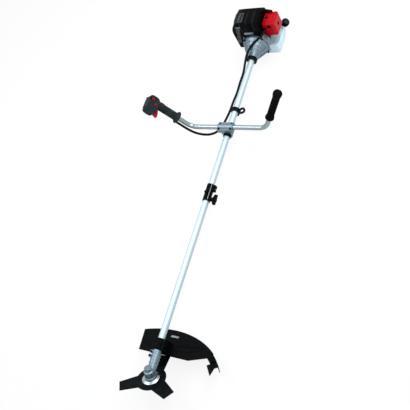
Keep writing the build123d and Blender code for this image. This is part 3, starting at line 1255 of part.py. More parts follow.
with BuildPart() as air_cleaner_cover:
    depth = CLEANER_OUTER - CLEANER_INNER
    block(facing_y(CLEANER_X, -CLEANER_INNER, CLEANER_LEVEL), CLEANER_LENGTH, CLEANER_HEIGHT, depth)
    rounded = air_cleaner_cover.edges().filter_by(Axis.Y)
    rounded += air_cleaner_cover.faces().sort_by(Axis.Y)[0].edges()
    fillet(rounded, CLEANER_CORNER)
    offset(amount=-CLEANER_WALL, openings=air_cleaner_cover.faces().sort_by(Axis.Y)[-1])
    front_hole = facing_x(CLEANER_FRONT, -CLEANER_INNER - depth / 2, CLEANER_HIGH - 18)
    top_hole = facing_z(CLEANER_X, -CLEANER_INNER - 12, CLEANER_HIGH)
    side_hole = facing_y(CLEANER_X, -CLEANER_OUTER, CLEANER_LEVEL)
    disc(front_hole, CLEANER_RECESS, CLEANER_WALL, mode=Mode.SUBTRACT)
    disc(top_hole, CLEANER_RECESS, -CLEANER_WALL, mode=Mode.SUBTRACT)
    disc(side_hole, CLEANER_RECESS, -CLEANER_WALL, mode=Mode.SUBTRACT)
    cable_way = facing_x(CLEANER_FRONT, CABLE_POINTS[-1].Y - SHAFT_Y, CABLE_POINTS[-1].Z - SHAFT_Z)
    disc(cable_way, CABLE_RADIUS + GAP, CLEANER_WALL, mode=Mode.SUBTRACT)
    choke_way = facing_x(CLEANER_FRONT + CLEANER_LENGTH, CHOKE_SIDE, CHOKE_LEVEL)
    disc(choke_way, CHOKE_RADIUS + RUN, -CLEANER_WALL, mode=Mode.SUBTRACT)

with BuildPart() as choke_lever:
    disc(choke_way.offset(GAP), CHOKE_RADIUS + 3.5, 5)
    carb_rear = CRANK_X + CARB_LENGTH / 2 + GAP
    pin_length = CLEANER_FRONT + CLEANER_LENGTH + GAP - carb_rear
    disc(choke_way.offset(GAP), CHOKE_RADIUS, -pin_length)
    arm = facing_x(CLEANER_FRONT + CLEANER_LENGTH + GAP, CHOKE_SIDE - CHOKE_ARM / 2, CHOKE_LEVEL)
    block(arm, CHOKE_ARM, 2 * CHOKE_RADIUS + 2, 5)

with BuildPart() as primer_bulb:
    centre = at(PRIMER_X, BASE_THICKNESS - CLEANER_INNER, PRIMER_LEVEL)
    press = Plane(centre, x_dir=(0, -1, 0), z_dir=(1, 0, 0))
    dome = [
        (0, 0),
        (0, PRIMER_RADIUS),
        (PRIMER_HEIGHT * 0.6, PRIMER_RADIUS),
        (PRIMER_HEIGHT * 0.88, PRIMER_RADIUS * 0.7),
        (PRIMER_HEIGHT, PRIMER_RADIUS * 0.3),
        (PRIMER_HEIGHT, 0),
    ]
    turned(press, dome)

# Fuel tank under the crankcase, with a tilted filler neck and its cap
TANK_LENGTH = TANK_REAR - TANK_FRONT
TANK_WIDTH = TANK_LEFT + TANK_RIGHT
TANK_X = (TANK_REAR + TANK_FRONT) / 2
TANK_Y = (TANK_RIGHT - TANK_LEFT) / 2
filler_way = Vector(0, -sin(radians(FILLER_TILT)), cos(radians(FILLER_TILT)))
filler = Plane(at(FILLER_X, 8 - TANK_LEFT, -TANK_TOP), x_dir=(1, 0, 0), z_dir=filler_way)
CAP_SEAT = FUEL_CAP_RADIUS * tan(radians(FILLER_TILT)) + 3.0
NECK_TOP = CAP_SEAT + FILLER_LENGTH / 2


def tank_body(inset, mode):
    """Tank with straight shoulders and a tapering lower part, drawn in by an inset."""
    length = TANK_LENGTH - 2 * inset
    width = TANK_WIDTH - 2 * inset
    corner = TANK_CORNER - inset
    with BuildSketch(facing_z(TANK_X - TANK_SLOPE / 2, TANK_Y, inset - TANK_DEPTH)) as bottom:
        RectangleRounded(length - TANK_SLOPE, width - 2 * TANK_DRAFT, corner)
    with BuildSketch(facing_z(TANK_X, TANK_Y, -TANK_TOP - TANK_SHOULDER)) as shoulder:
        RectangleRounded(length, width, corner)
    loft([bottom.sketch.face(), shoulder.sketch.face()], mode=mode)
    extrude(shoulder.sketch, amount=TANK_SHOULDER - inset, mode=mode)


with BuildPart() as fuel_tank:
    tank_body(0, Mode.ADD)
    disc(filler.offset(-TANK_WALL - 6), FILLER_RADIUS, NECK_TOP + TANK_WALL + 6)
    tank_body(TANK_WALL, Mode.SUBTRACT)
    bore_start = filler.offset(-FILLER_LENGTH)
    disc(bore_start, FILLER_RADIUS - TANK_WALL, NECK_TOP + FILLER_LENGTH, mode=Mode.SUBTRACT)

with BuildPart() as fuel_cap:
    disc(filler.offset(CAP_SEAT), FUEL_CAP_RADIUS, FUEL_CAP_LENGTH)
    disc(filler.offset(CAP_SEAT), FILLER_RADIUS + RUN, FILLER_LENGTH / 2 + GAP, mode=Mode.SUBTRACT)

# Screws of the engine, the coupler, the handle and the harness ring
with BuildPart() as cap_screws:
    for seat in coupler_seats + clamp_seats + housing_seats + [harness_seat] + clutch_seats:
        cap_screw(seat)

# Every piece under its own name, one file each
PIECES = {
    "blade": blade,
    "upper_flange": upper_flange,
    "lower_flange": lower_flange,
    "blade_nut": blade_nut,
    "output_shaft": output_shaft,
    "output_bearings": output_bearings,
    "driven_gear": driven_gear,
    "bevel_pinion": bevel_pinion,
    "pinion_bearings": pinion_bearings,
    "gear_case": gear_case,
    "boom_screws": boom_screws,
    "lower_tube": lower_tube,
    "lower_drive_shaft": lower_drive_shaft,
    "guard": guard,
    "guard_clamp": guard_clamp,
    "guard_wing": guard_wing,
    "line_cutter": line_cutter,
    "coupler_sleeve": coupler_sleeve,
    "coupler_knob": coupler_knob,
    "coupler_latch": coupler_latch,
    "upper_tube": upper_tube,
    "upper_drive_shaft": upper_drive_shaft,
    "handlebar": handlebar,
    "handle_damper": handle_damper,
    "handle_clamp_base": handle_clamp_base,
    "handle_clamp_cap": handle_clamp_cap,
    "left_grip": left_grip,
    "throttle_housing_inner": throttle_housing_inner,
    "throttle_housing_outer": throttle_housing_outer,
    "throttle_trigger": throttle_trigger,
    "lockout_lever": lockout_lever,
    "stop_switch": stop_switch,
    "fast_idle_button": fast_idle_button,
    "throttle_cable": throttle_cable,
    "harness_ring": harness_ring,
    "engine_collar": engine_collar,
    "clutch_housing": clutch_housing,
    "clutch_drum": clutch_drum,
    "clutch_shoes": clutch_shoes,
    "flywheel": flywheel,
    "crankcase_front": crankcase_front,
    "crankcase_rear": crankcase_rear,
    "crankshaft_front": crankshaft_front,
    "crankshaft_rear": crankshaft_rear,
    "connecting_rod": connecting_rod,
    "piston": piston,
    "cylinder": cylinder,
    "spark_plug": spark_plug,
    "muffler": muffler,
    "engine_cover": engine_cover,
    "starter_housing": starter_housing,
    "starter_handle": starter_handle,
    "carburettor": carburettor,
    "air_cleaner_base": air_cleaner_base,
    "air_cleaner_cover": air_cleaner_cover,
    "choke_lever": choke_lever,
    "primer_bulb": primer_bulb,
    "fuel_tank": fuel_tank,
    "fuel_cap": fuel_cap,
    "cap_screws": cap_screws,
}
os.makedirs("parts", exist_ok=True)
for name, piece in PIECES.items():
    piece.part.label = name
    export_step(piece.part, f"parts/{name}.step")
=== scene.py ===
"""Looks of a petrol brush cutter with a split shaft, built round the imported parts."""

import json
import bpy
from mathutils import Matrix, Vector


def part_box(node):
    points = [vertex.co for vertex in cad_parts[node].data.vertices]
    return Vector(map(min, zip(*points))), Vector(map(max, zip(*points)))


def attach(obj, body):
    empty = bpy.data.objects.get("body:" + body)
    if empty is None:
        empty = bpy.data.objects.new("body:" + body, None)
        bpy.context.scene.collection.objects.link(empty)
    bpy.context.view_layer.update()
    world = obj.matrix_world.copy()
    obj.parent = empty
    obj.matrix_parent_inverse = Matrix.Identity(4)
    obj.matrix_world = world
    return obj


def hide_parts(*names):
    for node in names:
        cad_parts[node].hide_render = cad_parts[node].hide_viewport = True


bl_info = {
    "name": "Brush cutter looks",
    "version": (1, 0, 0),
    "blender": (4, 5, 0),
    "location": "View3D > Sidebar > Brush cutter",
    "description": "Finishes and fine details of a petrol brush cutter",
    "category": "Object",
}

from math import cos, pi, radians, sin

import bmesh
import bpy
from mathutils import Matrix, Vector

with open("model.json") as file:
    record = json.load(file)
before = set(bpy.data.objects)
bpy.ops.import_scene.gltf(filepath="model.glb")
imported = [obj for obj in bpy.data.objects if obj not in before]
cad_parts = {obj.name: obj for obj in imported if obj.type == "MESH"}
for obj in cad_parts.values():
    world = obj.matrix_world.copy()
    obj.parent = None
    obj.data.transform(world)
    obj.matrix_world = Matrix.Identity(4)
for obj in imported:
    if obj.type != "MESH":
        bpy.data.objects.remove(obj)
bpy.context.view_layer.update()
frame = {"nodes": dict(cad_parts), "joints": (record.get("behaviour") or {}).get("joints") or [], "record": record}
joints = {joint["name"]: joint for joint in frame["joints"]}
HEAD = Vector(joints["blade_spin"]["pos_m"])
OUTPUT_AXIS = Vector(joints["blade_spin"]["axis"])
FILLER = Vector(joints["fuel_cap_turn"]["pos_m"])
FILLER_AXIS = Vector(joints["fuel_cap_turn"]["axis"])
MM = 0.001

SHAFT = Vector((1, 0, 0))

# Camera of the photograph: its place along the shaft, its right and its up
CAMERA_PLACE = (-213.0, -1298.5, 2067.5)
CAMERA_RIGHT = Vector((0.2875, -0.8651, -0.4113))
CAMERA_UP = Vector((0.8868, 0.0781, 0.4556))
SENSOR = 36.0
FLOOR_SIZE = 8.0  # metres
FLOOR_WHITE = 0.86  # share of the floor that shows white whatever falls on it

# Places and sizes of the part, in millimetres and degrees
ARM_TILT = radians(29)
ARM_BACK = radians(12)
LEFT_CORNER = (1108.0, -196.0, 33.0)
LEFT_ARM = Matrix.Rotation(ARM_BACK, 3, "Y") @ Vector((0, -sin(ARM_TILT), cos(ARM_TILT)))
GRIP_START = 98.0  # first and last ring along the left arm
GRIP_END = 194.0
GRIP_RADIUS = 14.6
HOOD_FRONT = 1600.5
BUTTON_HOLE = 5.0  # radius, room for the fast idle button
BUTTON_WAY = 17.6  # button and its travel
CAP_RADIUS = 18.6
CAP_TOP = 13.0
CONE_STATION = 1563.0
CONE_RADIUS = 47.0
CONE_SLOPE = radians(30)
HOOPS = ((1549, 36.9), (1562, 46.2), (1577, 53.2))  # stations and radii
GUARD_LEVEL = 25.0  # top of the guard along the output axis
COUPLER_RADIUS = 17.5
# Angle round the coupler of its painted highlight line
HIGHLIGHT_LEAN = radians(-38)

# Throttle cable: out of the grip, sagging to the handle clamp, along the tube and into the air cleaner
CABLE_ROUTE = (
    (1086, 216.8, 103),
    (1086, 201.3, 75),
    (1085, 184, 46),
    (1083, 158, 22),
    (1084, 126, 6),
    (1089, 90, -1),
    (1102, 58, 1),
    (1131, 38.5, 5),
    (1172, 27.5, 8),
    (1218, 25, 3),
    (1265, 20.8, 8.5),
    (1320, 19.8, 2),
    (1375, 19.5, 7.4),
    (1430, 19.8, 3),
    (1474, 20.8, 15),
    (1510, 16.7, 32.4),
    (1545, 4, 44.5),
    (1570, -20, 57.5),
    (1594, -46, 61),
    (1630, -57, 62),
    (1663, -57, 62),
)

# Slots and extra finishes, with the names of their materials
FINISHES = {
    "black_plastic": "moulded_black_polyamide",
    "gloss_black": "polished_black_polyamide",
    "satin_black": "satin_black_polyamide",
    "handle_black": "moulded_handle_polyamide",
    "red_plastic": "moulded_red_polypropylene",
    "tank_plastic": "blown_polyethylene",
    "cast_alloy": "blasted_aluminium_casting",
    "tube_alloy": "drawn_anodised_tube",
    "bar_alloy": "drawn_anodised_handlebar",
    "black_enamel": "stoved_black_enamel",
    "steel": "turned_plated_steel",
    "black_rubber": "moulded_black_rubber",
    "cable_sheath": "extruded_black_sheath",
    "plate": "bare_rolled_foil",
}


def linear(code):
    """Linear colour of an sRGB hex value."""
    parts = [int(code[i : i + 2], 16) / 255 for i in (1, 3, 5)]
    return tuple(c / 12.92 if c <= 0.04045 else ((c + 0.055) / 1.055) ** 2.4 for c in parts) + (1.0,)


def place(x, y, z):
    """Point given by its station along the shaft and its distance right of and above it, in millimetres."""
    return HEAD + Vector((x, y, z)) * MM


def colour(name, note, code):
    return bpy.props.FloatVectorProperty(
        name=name, description=note, default=linear(code), size=4, min=0, max=1, subtype="COLOR"
    )


def length(name, note, millimetres):
    return bpy.props.FloatProperty(
        name=name, description=note, default=millimetres * MM, min=0, subtype="DISTANCE", unit="LENGTH"
    )


def count(name, note, number, least):
    return bpy.props.IntProperty(name=name, description=note, default=number, min=least)


def power(name, note, watts):
    return bpy.props.FloatProperty(name=name, description=note, default=watts, unit="POWER")


class CutterColours(bpy.types.PropertyGroup):
    """Colours of the finishes."""

    black: colour("Black plastic", "Moulded covers, guard and coupler", "#060809")
    handle_black: colour("Handle black", "Throttle handle", "#222a2c")
    # The slats are grey rather than black: a painted highlight that stands in for the gloss along their edges
    louvre_painted_highlight: colour("Louvres", "Painted highlight on the slats of the hood", "#4d565b")
    red: colour("Red plastic", "Air cleaner cover and controls", "#b40015")
    tank: colour("Tank", "Translucent fuel tank", "#d3eef8")
    cast: colour("Castings", "Blasted die castings", "#788a96")
    tube: colour("Tube", "Satin tubes", "#bdced7")
    bar: colour("Bar", "Drawn handlebar", "#97a4aa")
    enamel: colour("Black enamel", "Blade, collar and harness ring", "#070b0d")
    steel: colour("Machined steel", "Flanges, nut and shafts", "#aab4ba")
    rubber: colour("Rubber", "Grip, damper and primer bulb", "#060708")
    sheath: colour("Cable sheath", "Throttle cable", "#0b0c0e")
    plate: colour("Bare plates", "Plates without any print", "#9aa0a3")


class CutterSizes(bpy.types.PropertyGroup):
    """Sizes of the details."""

    cable: length("Cable diameter", "Outside of the sheath", 11.0)
    slat_step: length("Louvre pitch", "Distance between the slats of the hood", 9.6)
    slats: count("Front slats", "Slats down the hood's front", 10, 2)
    roof_slats: count("Roof slats", "Slats on the hood's roof", 7, 2)
    grip_rings: count("Grip rings", "Rings round the left grip", 13, 2)
    cap_ribs: count("Cap ribs", "Ribs round the fuel cap", 28, 6)
    cone_ribs: count("Housing ribs", "Ribs on the clutch housing", 10, 3)


class StageSettings(bpy.types.PropertyGroup):
    """Camera and lights."""

    lens: bpy.props.FloatProperty(
        name="Lens", description="Focal length", default=53.81, subtype="DISTANCE_CAMERA"
    )
    key: power("Key light", "Power of the large lamp", 58)
    fill: power("Fill light", "Power of the side lamp", 27)
    sky: bpy.props.FloatProperty(name="Sky", description="Strength of the even light", default=0.55, min=0)


def node(tree, kind, links=None, **settings):
    """Adds a node, sets its properties or inputs, and links its inputs to the given sockets."""
    made = tree.nodes.new(kind)
    for key, value in settings.items():
        if hasattr(made, key):
            setattr(made, key, value)
        else:
            made.inputs[key.replace("_", " ")].default_value = value
    for socket, source in (links or {}).items():
        tree.links.new(source, made.inputs[socket])
    return made


def patterned(name, stretch=(1, 1, 1)):
    """New material; gives its tree, its shader and the piece's own coordinates, stretched."""
    made = bpy.data.materials.new(name)
    made.use_nodes = True
    tree = made.node_tree
    tree.nodes.clear()
    shader = node(tree, "ShaderNodeBsdfPrincipled")
    node(tree, "ShaderNodeOutputMaterial", {"Surface": shader.outputs["BSDF"]})
    spot = node(tree, "ShaderNodeTexCoord")
    grid = node(tree, "ShaderNodeMapping", {"Vector": spot.outputs["Object"]}, Scale=stretch)
    return tree, shader, grid.outputs["Vector"]


def mottled(tree, shader, grid, first, second, size, rough):
    """Colour and roughness that drift between two values over patches of the given size in millimetres."""
    patch = node(tree, "ShaderNodeTexNoise", {"Vector": grid}, Scale=1 / (size * MM), Detail=3.0)
    tint = node(tree, "ShaderNodeValToRGB", {"Fac": patch.outputs["Fac"]})
    tint.color_ramp.elements[0].position = 0.35
    tint.color_ramp.elements[0].color = first
    tint.color_ramp.elements[1].position = 0.68
    tint.color_ramp.elements[1].color = second
    tree.links.new(tint.outputs["Color"], shader.inputs["Base Color"])
    wear = node(tree, "ShaderNodeMapRange", {"Value": patch.outputs["Fac"]}, To_Min=rough[0], To_Max=rough[1])
    tree.links.new(wear.outputs["Result"], shader.inputs["Roughness"])


def grained(tree, shader, grid, size, depth, strength):
    """Raised grain of the given size and depth in millimetres."""
    grit = node(tree, "ShaderNodeTexNoise", {"Vector": grid}, Scale=1 / (size * MM), Detail=2.0)
    bump = node(
        tree, "ShaderNodeBump", {"Height": grit.outputs["Fac"]}, Strength=strength, Distance=depth * MM
    )
    tree.links.new(bump.outputs["Normal"], shader.inputs["Normal"])


def scaled(shade, share):
    """Colour made lighter or darker."""
    return tuple(min(1.0, c * share) for c in shade[:3]) + (1.0,)


def moulded_plastic(name, shade, rough, gloss):
    """Glass-filled polyamide from a spark-eroded mould: dull sheen broken up by a fine grain."""
    tree, shader, grid = patterned(name)
    mottled(tree, shader, grid, scaled(shade, 0.8), scaled(shade, 1.3), 38.0, rough)
    # The real grain is 0.3 mm; drawn at 1.6 mm so that it shows
    grained(tree, shader, grid, 1.6, 0.25, 0.35)
    shader.inputs["Specular IOR Level"].default_value = gloss


def red_plastic(name, shade):
    """Pigmented polypropylene: saturated, half gloss, with slight waves from the mould."""
    tree, shader, grid = patterned(name)
    mottled(tree, shader, grid, scaled(shade, 0.88), scaled(shade, 1.06), 30.0, (0.26, 0.38))
    grained(tree, shader, grid, 6.0, 0.2, 0.15)
    shader.inputs["Specular IOR Level"].default_value = 0.12


def blown_polyethylene(name, shade):
    """Blow-moulded polyethylene: milky, lets light through, slightly wavy walls."""
    tree, shader, grid = patterned(name)
    mottled(tree, shader, grid, scaled(shade, 0.93), scaled(shade, 1.04), 45.0, (0.3, 0.42))
    grained(tree, shader, grid, 14.0, 0.5, 0.2)
    shader.inputs["IOR"].default_value = 1.51
    shader.inputs["Transmission Weight"].default_value = 0.03


def blasted_casting(name, shade):
    """Die-cast aluminium, bead blasted: even grey with a soft sparkle and a rough skin."""
    tree, shader, grid = patterned(name)
    mottled(tree, shader, grid, scaled(shade, 0.9), scaled(shade, 1.05), 22.0, (0.38, 0.46))
    # Blasting pits are under 0.2 mm; drawn at 1.2 mm so that they show
    grained(tree, shader, grid, 1.2, 0.1, 0.1)
    shader.inputs["Metallic"].default_value = 0.9


def drawn_tube(name, shade, stretch, rough):
    """Drawn and satin-anodised aluminium: bright, with faint lines left by the die along the tube."""
    tree, shader, grid = patterned(name, stretch)
    mottled(tree, shader, grid, scaled(shade, 0.95), scaled(shade, 1.03), 5.0, rough)
    grained(tree, shader, grid, 4.0, 0.02, 0.05)
    shader.inputs["Metallic"].default_value = 0.9


def black_enamel(name, shade):
    """Stoved enamel on sheet steel: deep black, slight orange peel, rubbed greyer in patches."""
    tree, shader, grid = patterned(name)
    mottled(tree, shader, grid, scaled(shade, 0.8), scaled(shade, 2.0), 26.0, (0.3, 0.46))
    grained(tree, shader, grid, 3.0, 0.12, 0.25)
    shader.inputs["Specular IOR Level"].default_value = 0.05


def turned_steel(name, shade):
    """Machined and zinc-plated steel: bright, with rings left by the tool round the output axis."""
    turn = OUTPUT_AXIS.rotation_difference(Vector((0, 0, 1))).to_euler()
    tree, shader, _ = patterned(name)
    spot = next(n for n in tree.nodes if n.bl_idname == "ShaderNodeTexCoord")
    centre = node(tree, "ShaderNodeVectorMath", {0: spot.outputs["Object"]}, operation="SUBTRACT")
    centre.inputs[1].default_value = HEAD
    turned = node(tree, "ShaderNodeMapping", {"Vector": centre.outputs["Vector"]}, Rotation=turn)
    grid = turned.outputs["Vector"]
    mottled(tree, shader, grid, scaled(shade, 0.82), scaled(shade, 1.05), 12.0, (0.22, 0.36))
    # Tool marks are 0.1 mm apart; drawn 2.5 mm apart so that they show
    rings = node(
        tree,
        "ShaderNodeTexWave",
        {"Vector": grid},
        wave_type="RINGS",
        rings_direction="Z",
        Scale=1 / (2.5 * MM) / 20,
    )
    bump = node(tree, "ShaderNodeBump", {"Height": rings.outputs["Fac"]}, Strength=0.2, Distance=0.2 * MM)
    tree.links.new(bump.outputs["Normal"], shader.inputs["Normal"])
    shader.inputs["Metallic"].default_value = 1.0


def soft_rubber(name, shade):
    """Moulded rubber: almost no gloss, dusty in patches, fine pimples."""
    tree, shader, grid = patterned(name)
    mottled(tree, shader, grid, scaled(shade, 0.85), scaled(shade, 1.7), 18.0, (0.6, 0.78))
    grained(tree, shader, grid, 2.2, 0.3, 0.4)
    shader.inputs["Specular IOR Level"].default_value = 0.03


def smooth_sheath(name, shade):
    """Extruded PVC sheath: smooth, half gloss, marked along its length by the die."""
    tree, shader, grid = patterned(name)
    mottled(tree, shader, grid, scaled(shade, 0.85), scaled(shade, 1.4), 14.0, (0.32, 0.45))
    grained(tree, shader, grid, 2.0, 0.08, 0.2)
    shader.inputs["Specular IOR Level"].default_value = 0.06


def brushed_plate(name, shade):
    """Bare rolled foil: satin grey with fine streaks, and nothing printed on it."""
    tree, shader, grid = patterned(name, (1, 0.15, 1))
    mottled(tree, shader, grid, scaled(shade, 0.75), scaled(shade, 1.1), 4.0, (0.34, 0.5))
    grained(tree, shader, grid, 1.4, 0.05, 0.15)
    shader.inputs["Metallic"].default_value = 0.85


def make_finishes(shades):
    """Makes all the finishes."""
    names = FINISHES
    moulded_plastic(names["black_plastic"], shades.black, (0.4, 0.55), 0.03)
    # The slats take the grey louvre colour: a painted highlight, with real gloss on top
    moulded_plastic(names["gloss_black"], shades.louvre_painted_highlight, (0.16, 0.26), 0.4)
    moulded_plastic(names["satin_black"], shades.black, (0.24, 0.34), 0.1)
    moulded_plastic(names["handle_black"], shades.handle_black, (0.42, 0.56), 0.05)
    red_plastic(names["red_plastic"], shades.red)
    blown_polyethylene(names["tank_plastic"], shades.tank)
    blasted_casting(names["cast_alloy"], shades.cast)
    drawn_tube(names["tube_alloy"], shades.tube, (0.04, 1, 1), (0.54, 0.62))
    drawn_tube(names["bar_alloy"], shades.bar, (1, 0.06, 0.5), (0.2, 0.28))
    black_enamel(names["black_enamel"], shades.enamel)
    turned_steel(names["steel"], shades.steel)
    soft_rubber(names["black_rubber"], shades.rubber)
    smooth_sheath(names["cable_sheath"], shades.sheath)
    brushed_plate(names["plate"], shades.plate)


def finish(name):
    """Finish that the finishes' operator made."""
    return bpy.data.materials[FINISHES[name]]


def add_piece(name, mesh, body, slot, finish_name=None):
    """Puts a finished mesh into the scene on its body."""
    mesh.name = name
    piece = bpy.data.objects.new(name, mesh)
    bpy.context.scene.collection.objects.link(piece)
    if not mesh.materials:
        mesh.materials.append(finish(finish_name or slot))
    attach(piece, body)
    return piece


def closed(form, name):
    """Mesh from an edited form, which is freed."""
    mesh = bpy.data.meshes.new(name)
    form.to_mesh(mesh)
    form.free()
    return mesh


def cylinder(radius, height):
    """Round form about Z, in millimetres."""
    form = bmesh.new()
    bmesh.ops.create_cone(
        form, cap_ends=True, segments=48, radius1=radius * MM, radius2=radius * MM, depth=height * MM
    )
    return form


def traced(name, points, steps):
    """Smooth curve along a path of points, in metres."""
    curve = bpy.data.curves.new(name, "CURVE")
    curve.dimensions = "3D"
    spline = curve.splines.new("NURBS")
    spline.points.add(len(points) - 1)
    for spot, point in zip(spline.points, points):
        spot.co = (*point, 1.0)
    spline.order_u = 3
    spline.use_endpoint_u = True
    spline.resolution_u = steps
    return curve


def plain_mesh(source):
    """Plain mesh of an object with its modifiers applied; the object itself is removed."""
    bpy.context.view_layer.update()
    shown = source.evaluated_get(bpy.context.evaluated_depsgraph_get())
    mesh = bpy.data.meshes.new_from_object(shown)
    bpy.data.objects.remove(source)
    return mesh


def smooth_faces(mesh, angle=35):
    """Smooth shading that keeps edges sharper than the angle."""
    form = bmesh.new()
    form.from_mesh(mesh)
    bmesh.ops.remove_doubles(form, verts=form.verts, dist=1e-6)
    for face in form.faces:
        face.smooth = True
    for edge in form.edges:
        edge.smooth = len(edge.link_faces) == 2 and edge.calc_face_angle(0) < radians(angle)
    form.to_mesh(mesh)
    form.free()
    return mesh


def helper(mesh):
    """Temporary object round a mesh."""
    made = bpy.data.objects.new("helper", mesh)
    bpy.context.scene.collection.objects.link(made)
    return made


def softened(node_name, voxel, rounds, extra=()):
    """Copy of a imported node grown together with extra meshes, its edges rounded as a mould leaves them."""
    mesh = joined([frame["nodes"][node_name].data, *extra])
    rounded = helper(mesh)
    remesh = rounded.modifiers.new("voxels", "REMESH")
    remesh.mode = "VOXEL"
    remesh.voxel_size = voxel * MM
    remesh.use_smooth_shade = True
    ease = rounded.modifiers.new("ease", "SMOOTH")
    ease.factor = 0.5
    ease.iterations = rounds
    return plain_mesh(rounded)


def drilled(mesh, node_name, axis, radius, depth):
    """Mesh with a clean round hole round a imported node's middle, its sizes in millimetres."""
    spots = [v.co for v in frame["nodes"][node_name].data.vertices]
    middle = Vector([(min(values) + max(values)) / 2 for values in zip(*spots)])
    form = cylinder(radius, depth)
    form.transform(along(middle, axis))
    bit = helper(closed(form, "bit"))
    body = helper(mesh)
    cut = body.modifiers.new("cut", "BOOLEAN")
    cut.operation = "DIFFERENCE"
    cut.solver = "EXACT"
    cut.object = bit
    made = plain_mesh(body)
    bpy.data.meshes.remove(bit.data)
    return smooth_faces(made, 50)


def swept(points, radius):
    """Round bead along a path of points, in metres."""
    curve = traced("bead", points, 8)
    curve.bevel_depth = radius
    curve.bevel_resolution = 3
    curve.use_fill_caps = True
    made = bpy.data.objects.new("bead", curve)
    bpy.context.scene.collection.objects.link(made)
    mesh = plain_mesh(made)
    bpy.data.curves.remove(curve)
    return smooth_faces(mesh, 60)


def joined(meshes):
    """One mesh from several."""
    form = bmesh.new()
    for mesh in meshes:
        form.from_mesh(mesh)
    return closed(form, "joined")


def hull(rows):
    """Convex body through rows of points: for each station, sides and levels in millimetres."""
    form = bmesh.new()
    for station, points in rows.items():
        for side, level in points:
            form.verts.new(place(station, side, level))
    bmesh.ops.convex_hull(form, input=form.verts)
    return closed(form, "hull")


def button(centre, axis, radius, height):
    """Round disc with eased edges that stands on a point along an axis, in millimetres."""
    form = cylinder(radius, height)
    rims = [e for e in form.edges if e.calc_face_angle(0) > radians(60)]
    bmesh.ops.bevel(form, geom=rims, offset=height * 0.3 * MM, segments=2, affect="EDGES", profile=0.5)
    form.transform(along(centre + axis * height * MM / 2, axis))
    return smooth_faces(closed(form, "button"), 50)


def tablet(centre, across, up, size, edge):
    """Thin plate with rounded corners and edges: centre, two directions and three sizes in millimetres."""
    form = bmesh.new()
    bmesh.ops.create_cube(form, size=1.0, matrix=Matrix.Diagonal((*size, 1)))
    corners = [e for e in form.edges if abs((e.verts[0].co - e.verts[1].co).z) > size[2] * 0.5]
    bmesh.ops.bevel(form, geom=corners, offset=edge * 3, segments=4, affect="EDGES", profile=0.5)
    rims = [e for e in form.edges if e.calc_face_angle(0) > radians(60)]
    bmesh.ops.bevel(form, geom=rims, offset=edge, segments=2, affect="EDGES", profile=0.5)
    normal = across.cross(up)
    turn = Matrix((across, up, normal)).transposed().to_4x4()
    form.transform(Matrix.Translation(centre) @ turn @ Matrix.Scale(MM, 4))
    bmesh.ops.recalc_face_normals(form, faces=form.faces)
    return smooth_faces(closed(form, "tablet"), 50)


def repeat_tree(name, inputs):
    """Geometry Nodes tree with named inputs; gives the tree, its input node and the identifiers."""
    tree = bpy.data.node_groups.new(name, "GeometryNodeTree")
    tree.interface.new_socket("Geometry", in_out="OUTPUT", socket_type="NodeSocketGeometry")
    marks = {}
    for label, kind in inputs.items():
        marks[label] = tree.interface.new_socket(label, in_out="INPUT", socket_type=kind).identifier
    return tree, node(tree, "NodeGroupInput"), marks


def end_tree(tree, given, instances):
    """Closes a tree: real geometry with its material."""
    real = node(tree, "GeometryNodeRealizeInstances", {"Geometry": instances})
    dressed = node(
        tree,
        "GeometryNodeSetMaterial",
        {"Geometry": real.outputs["Geometry"], "Material": given.outputs["Material"]},
    )
    node(tree, "NodeGroupOutput", {"Geometry": dressed.outputs["Geometry"]})


def bar_row_tree():
    """Bars of one size in a straight row."""
    tree, given, marks = repeat_tree(
        "bar_row",
        {
            "Count": "NodeSocketInt",
            "Step": "NodeSocketVector",
            "Size": "NodeSocketVector",
            "Material": "NodeSocketMaterial",
        },
    )
    line = node(
        tree,
        "GeometryNodeMeshLine",
        {"Count": given.outputs["Count"], "Offset": given.outputs["Step"]},
        mode="OFFSET",
    )
    bar = node(tree, "GeometryNodeMeshCube", {"Size": given.outputs["Size"]})
    bars = node(
        tree,
        "GeometryNodeInstanceOnPoints",
        {"Points": line.outputs["Mesh"], "Instance": bar.outputs["Mesh"]},
    )
    end_tree(tree, given, bars.outputs["Instances"])
    return tree, marks


def bar_circle_tree():
    """Bars of one size round a circle, each turned with its place."""
    tree, given, marks = repeat_tree(
        "bar_circle",
        {
            "Count": "NodeSocketInt",
            "Radius": "NodeSocketFloat",
            "Lean": "NodeSocketFloat",
            "Size": "NodeSocketVector",
            "Material": "NodeSocketMaterial",
        },
    )
    ring = node(
        tree,
        "GeometryNodeMeshCircle",
        {"Vertices": given.outputs["Count"], "Radius": given.outputs["Radius"]},
    )
    bar = node(tree, "GeometryNodeMeshCube", {"Size": given.outputs["Size"]})
    number = node(tree, "GeometryNodeInputIndex")
    share = node(
        tree, "ShaderNodeMath", {0: number.outputs["Index"], 1: given.outputs["Count"]}, operation="DIVIDE"
    )
    angle = node(tree, "ShaderNodeMath", {0: share.outputs["Value"]}, operation="MULTIPLY")
    angle.inputs[1].default_value = 2 * pi
    turn = node(tree, "ShaderNodeCombineXYZ", {"Y": given.outputs["Lean"], "Z": angle.outputs["Value"]})
    bars = node(
        tree,
        "GeometryNodeInstanceOnPoints",
        {"Points": ring.outputs["Mesh"], "Instance": bar.outputs["Mesh"], "Rotation": turn.outputs["Vector"]},
    )
    end_tree(tree, given, bars.outputs["Instances"])
    return tree, marks


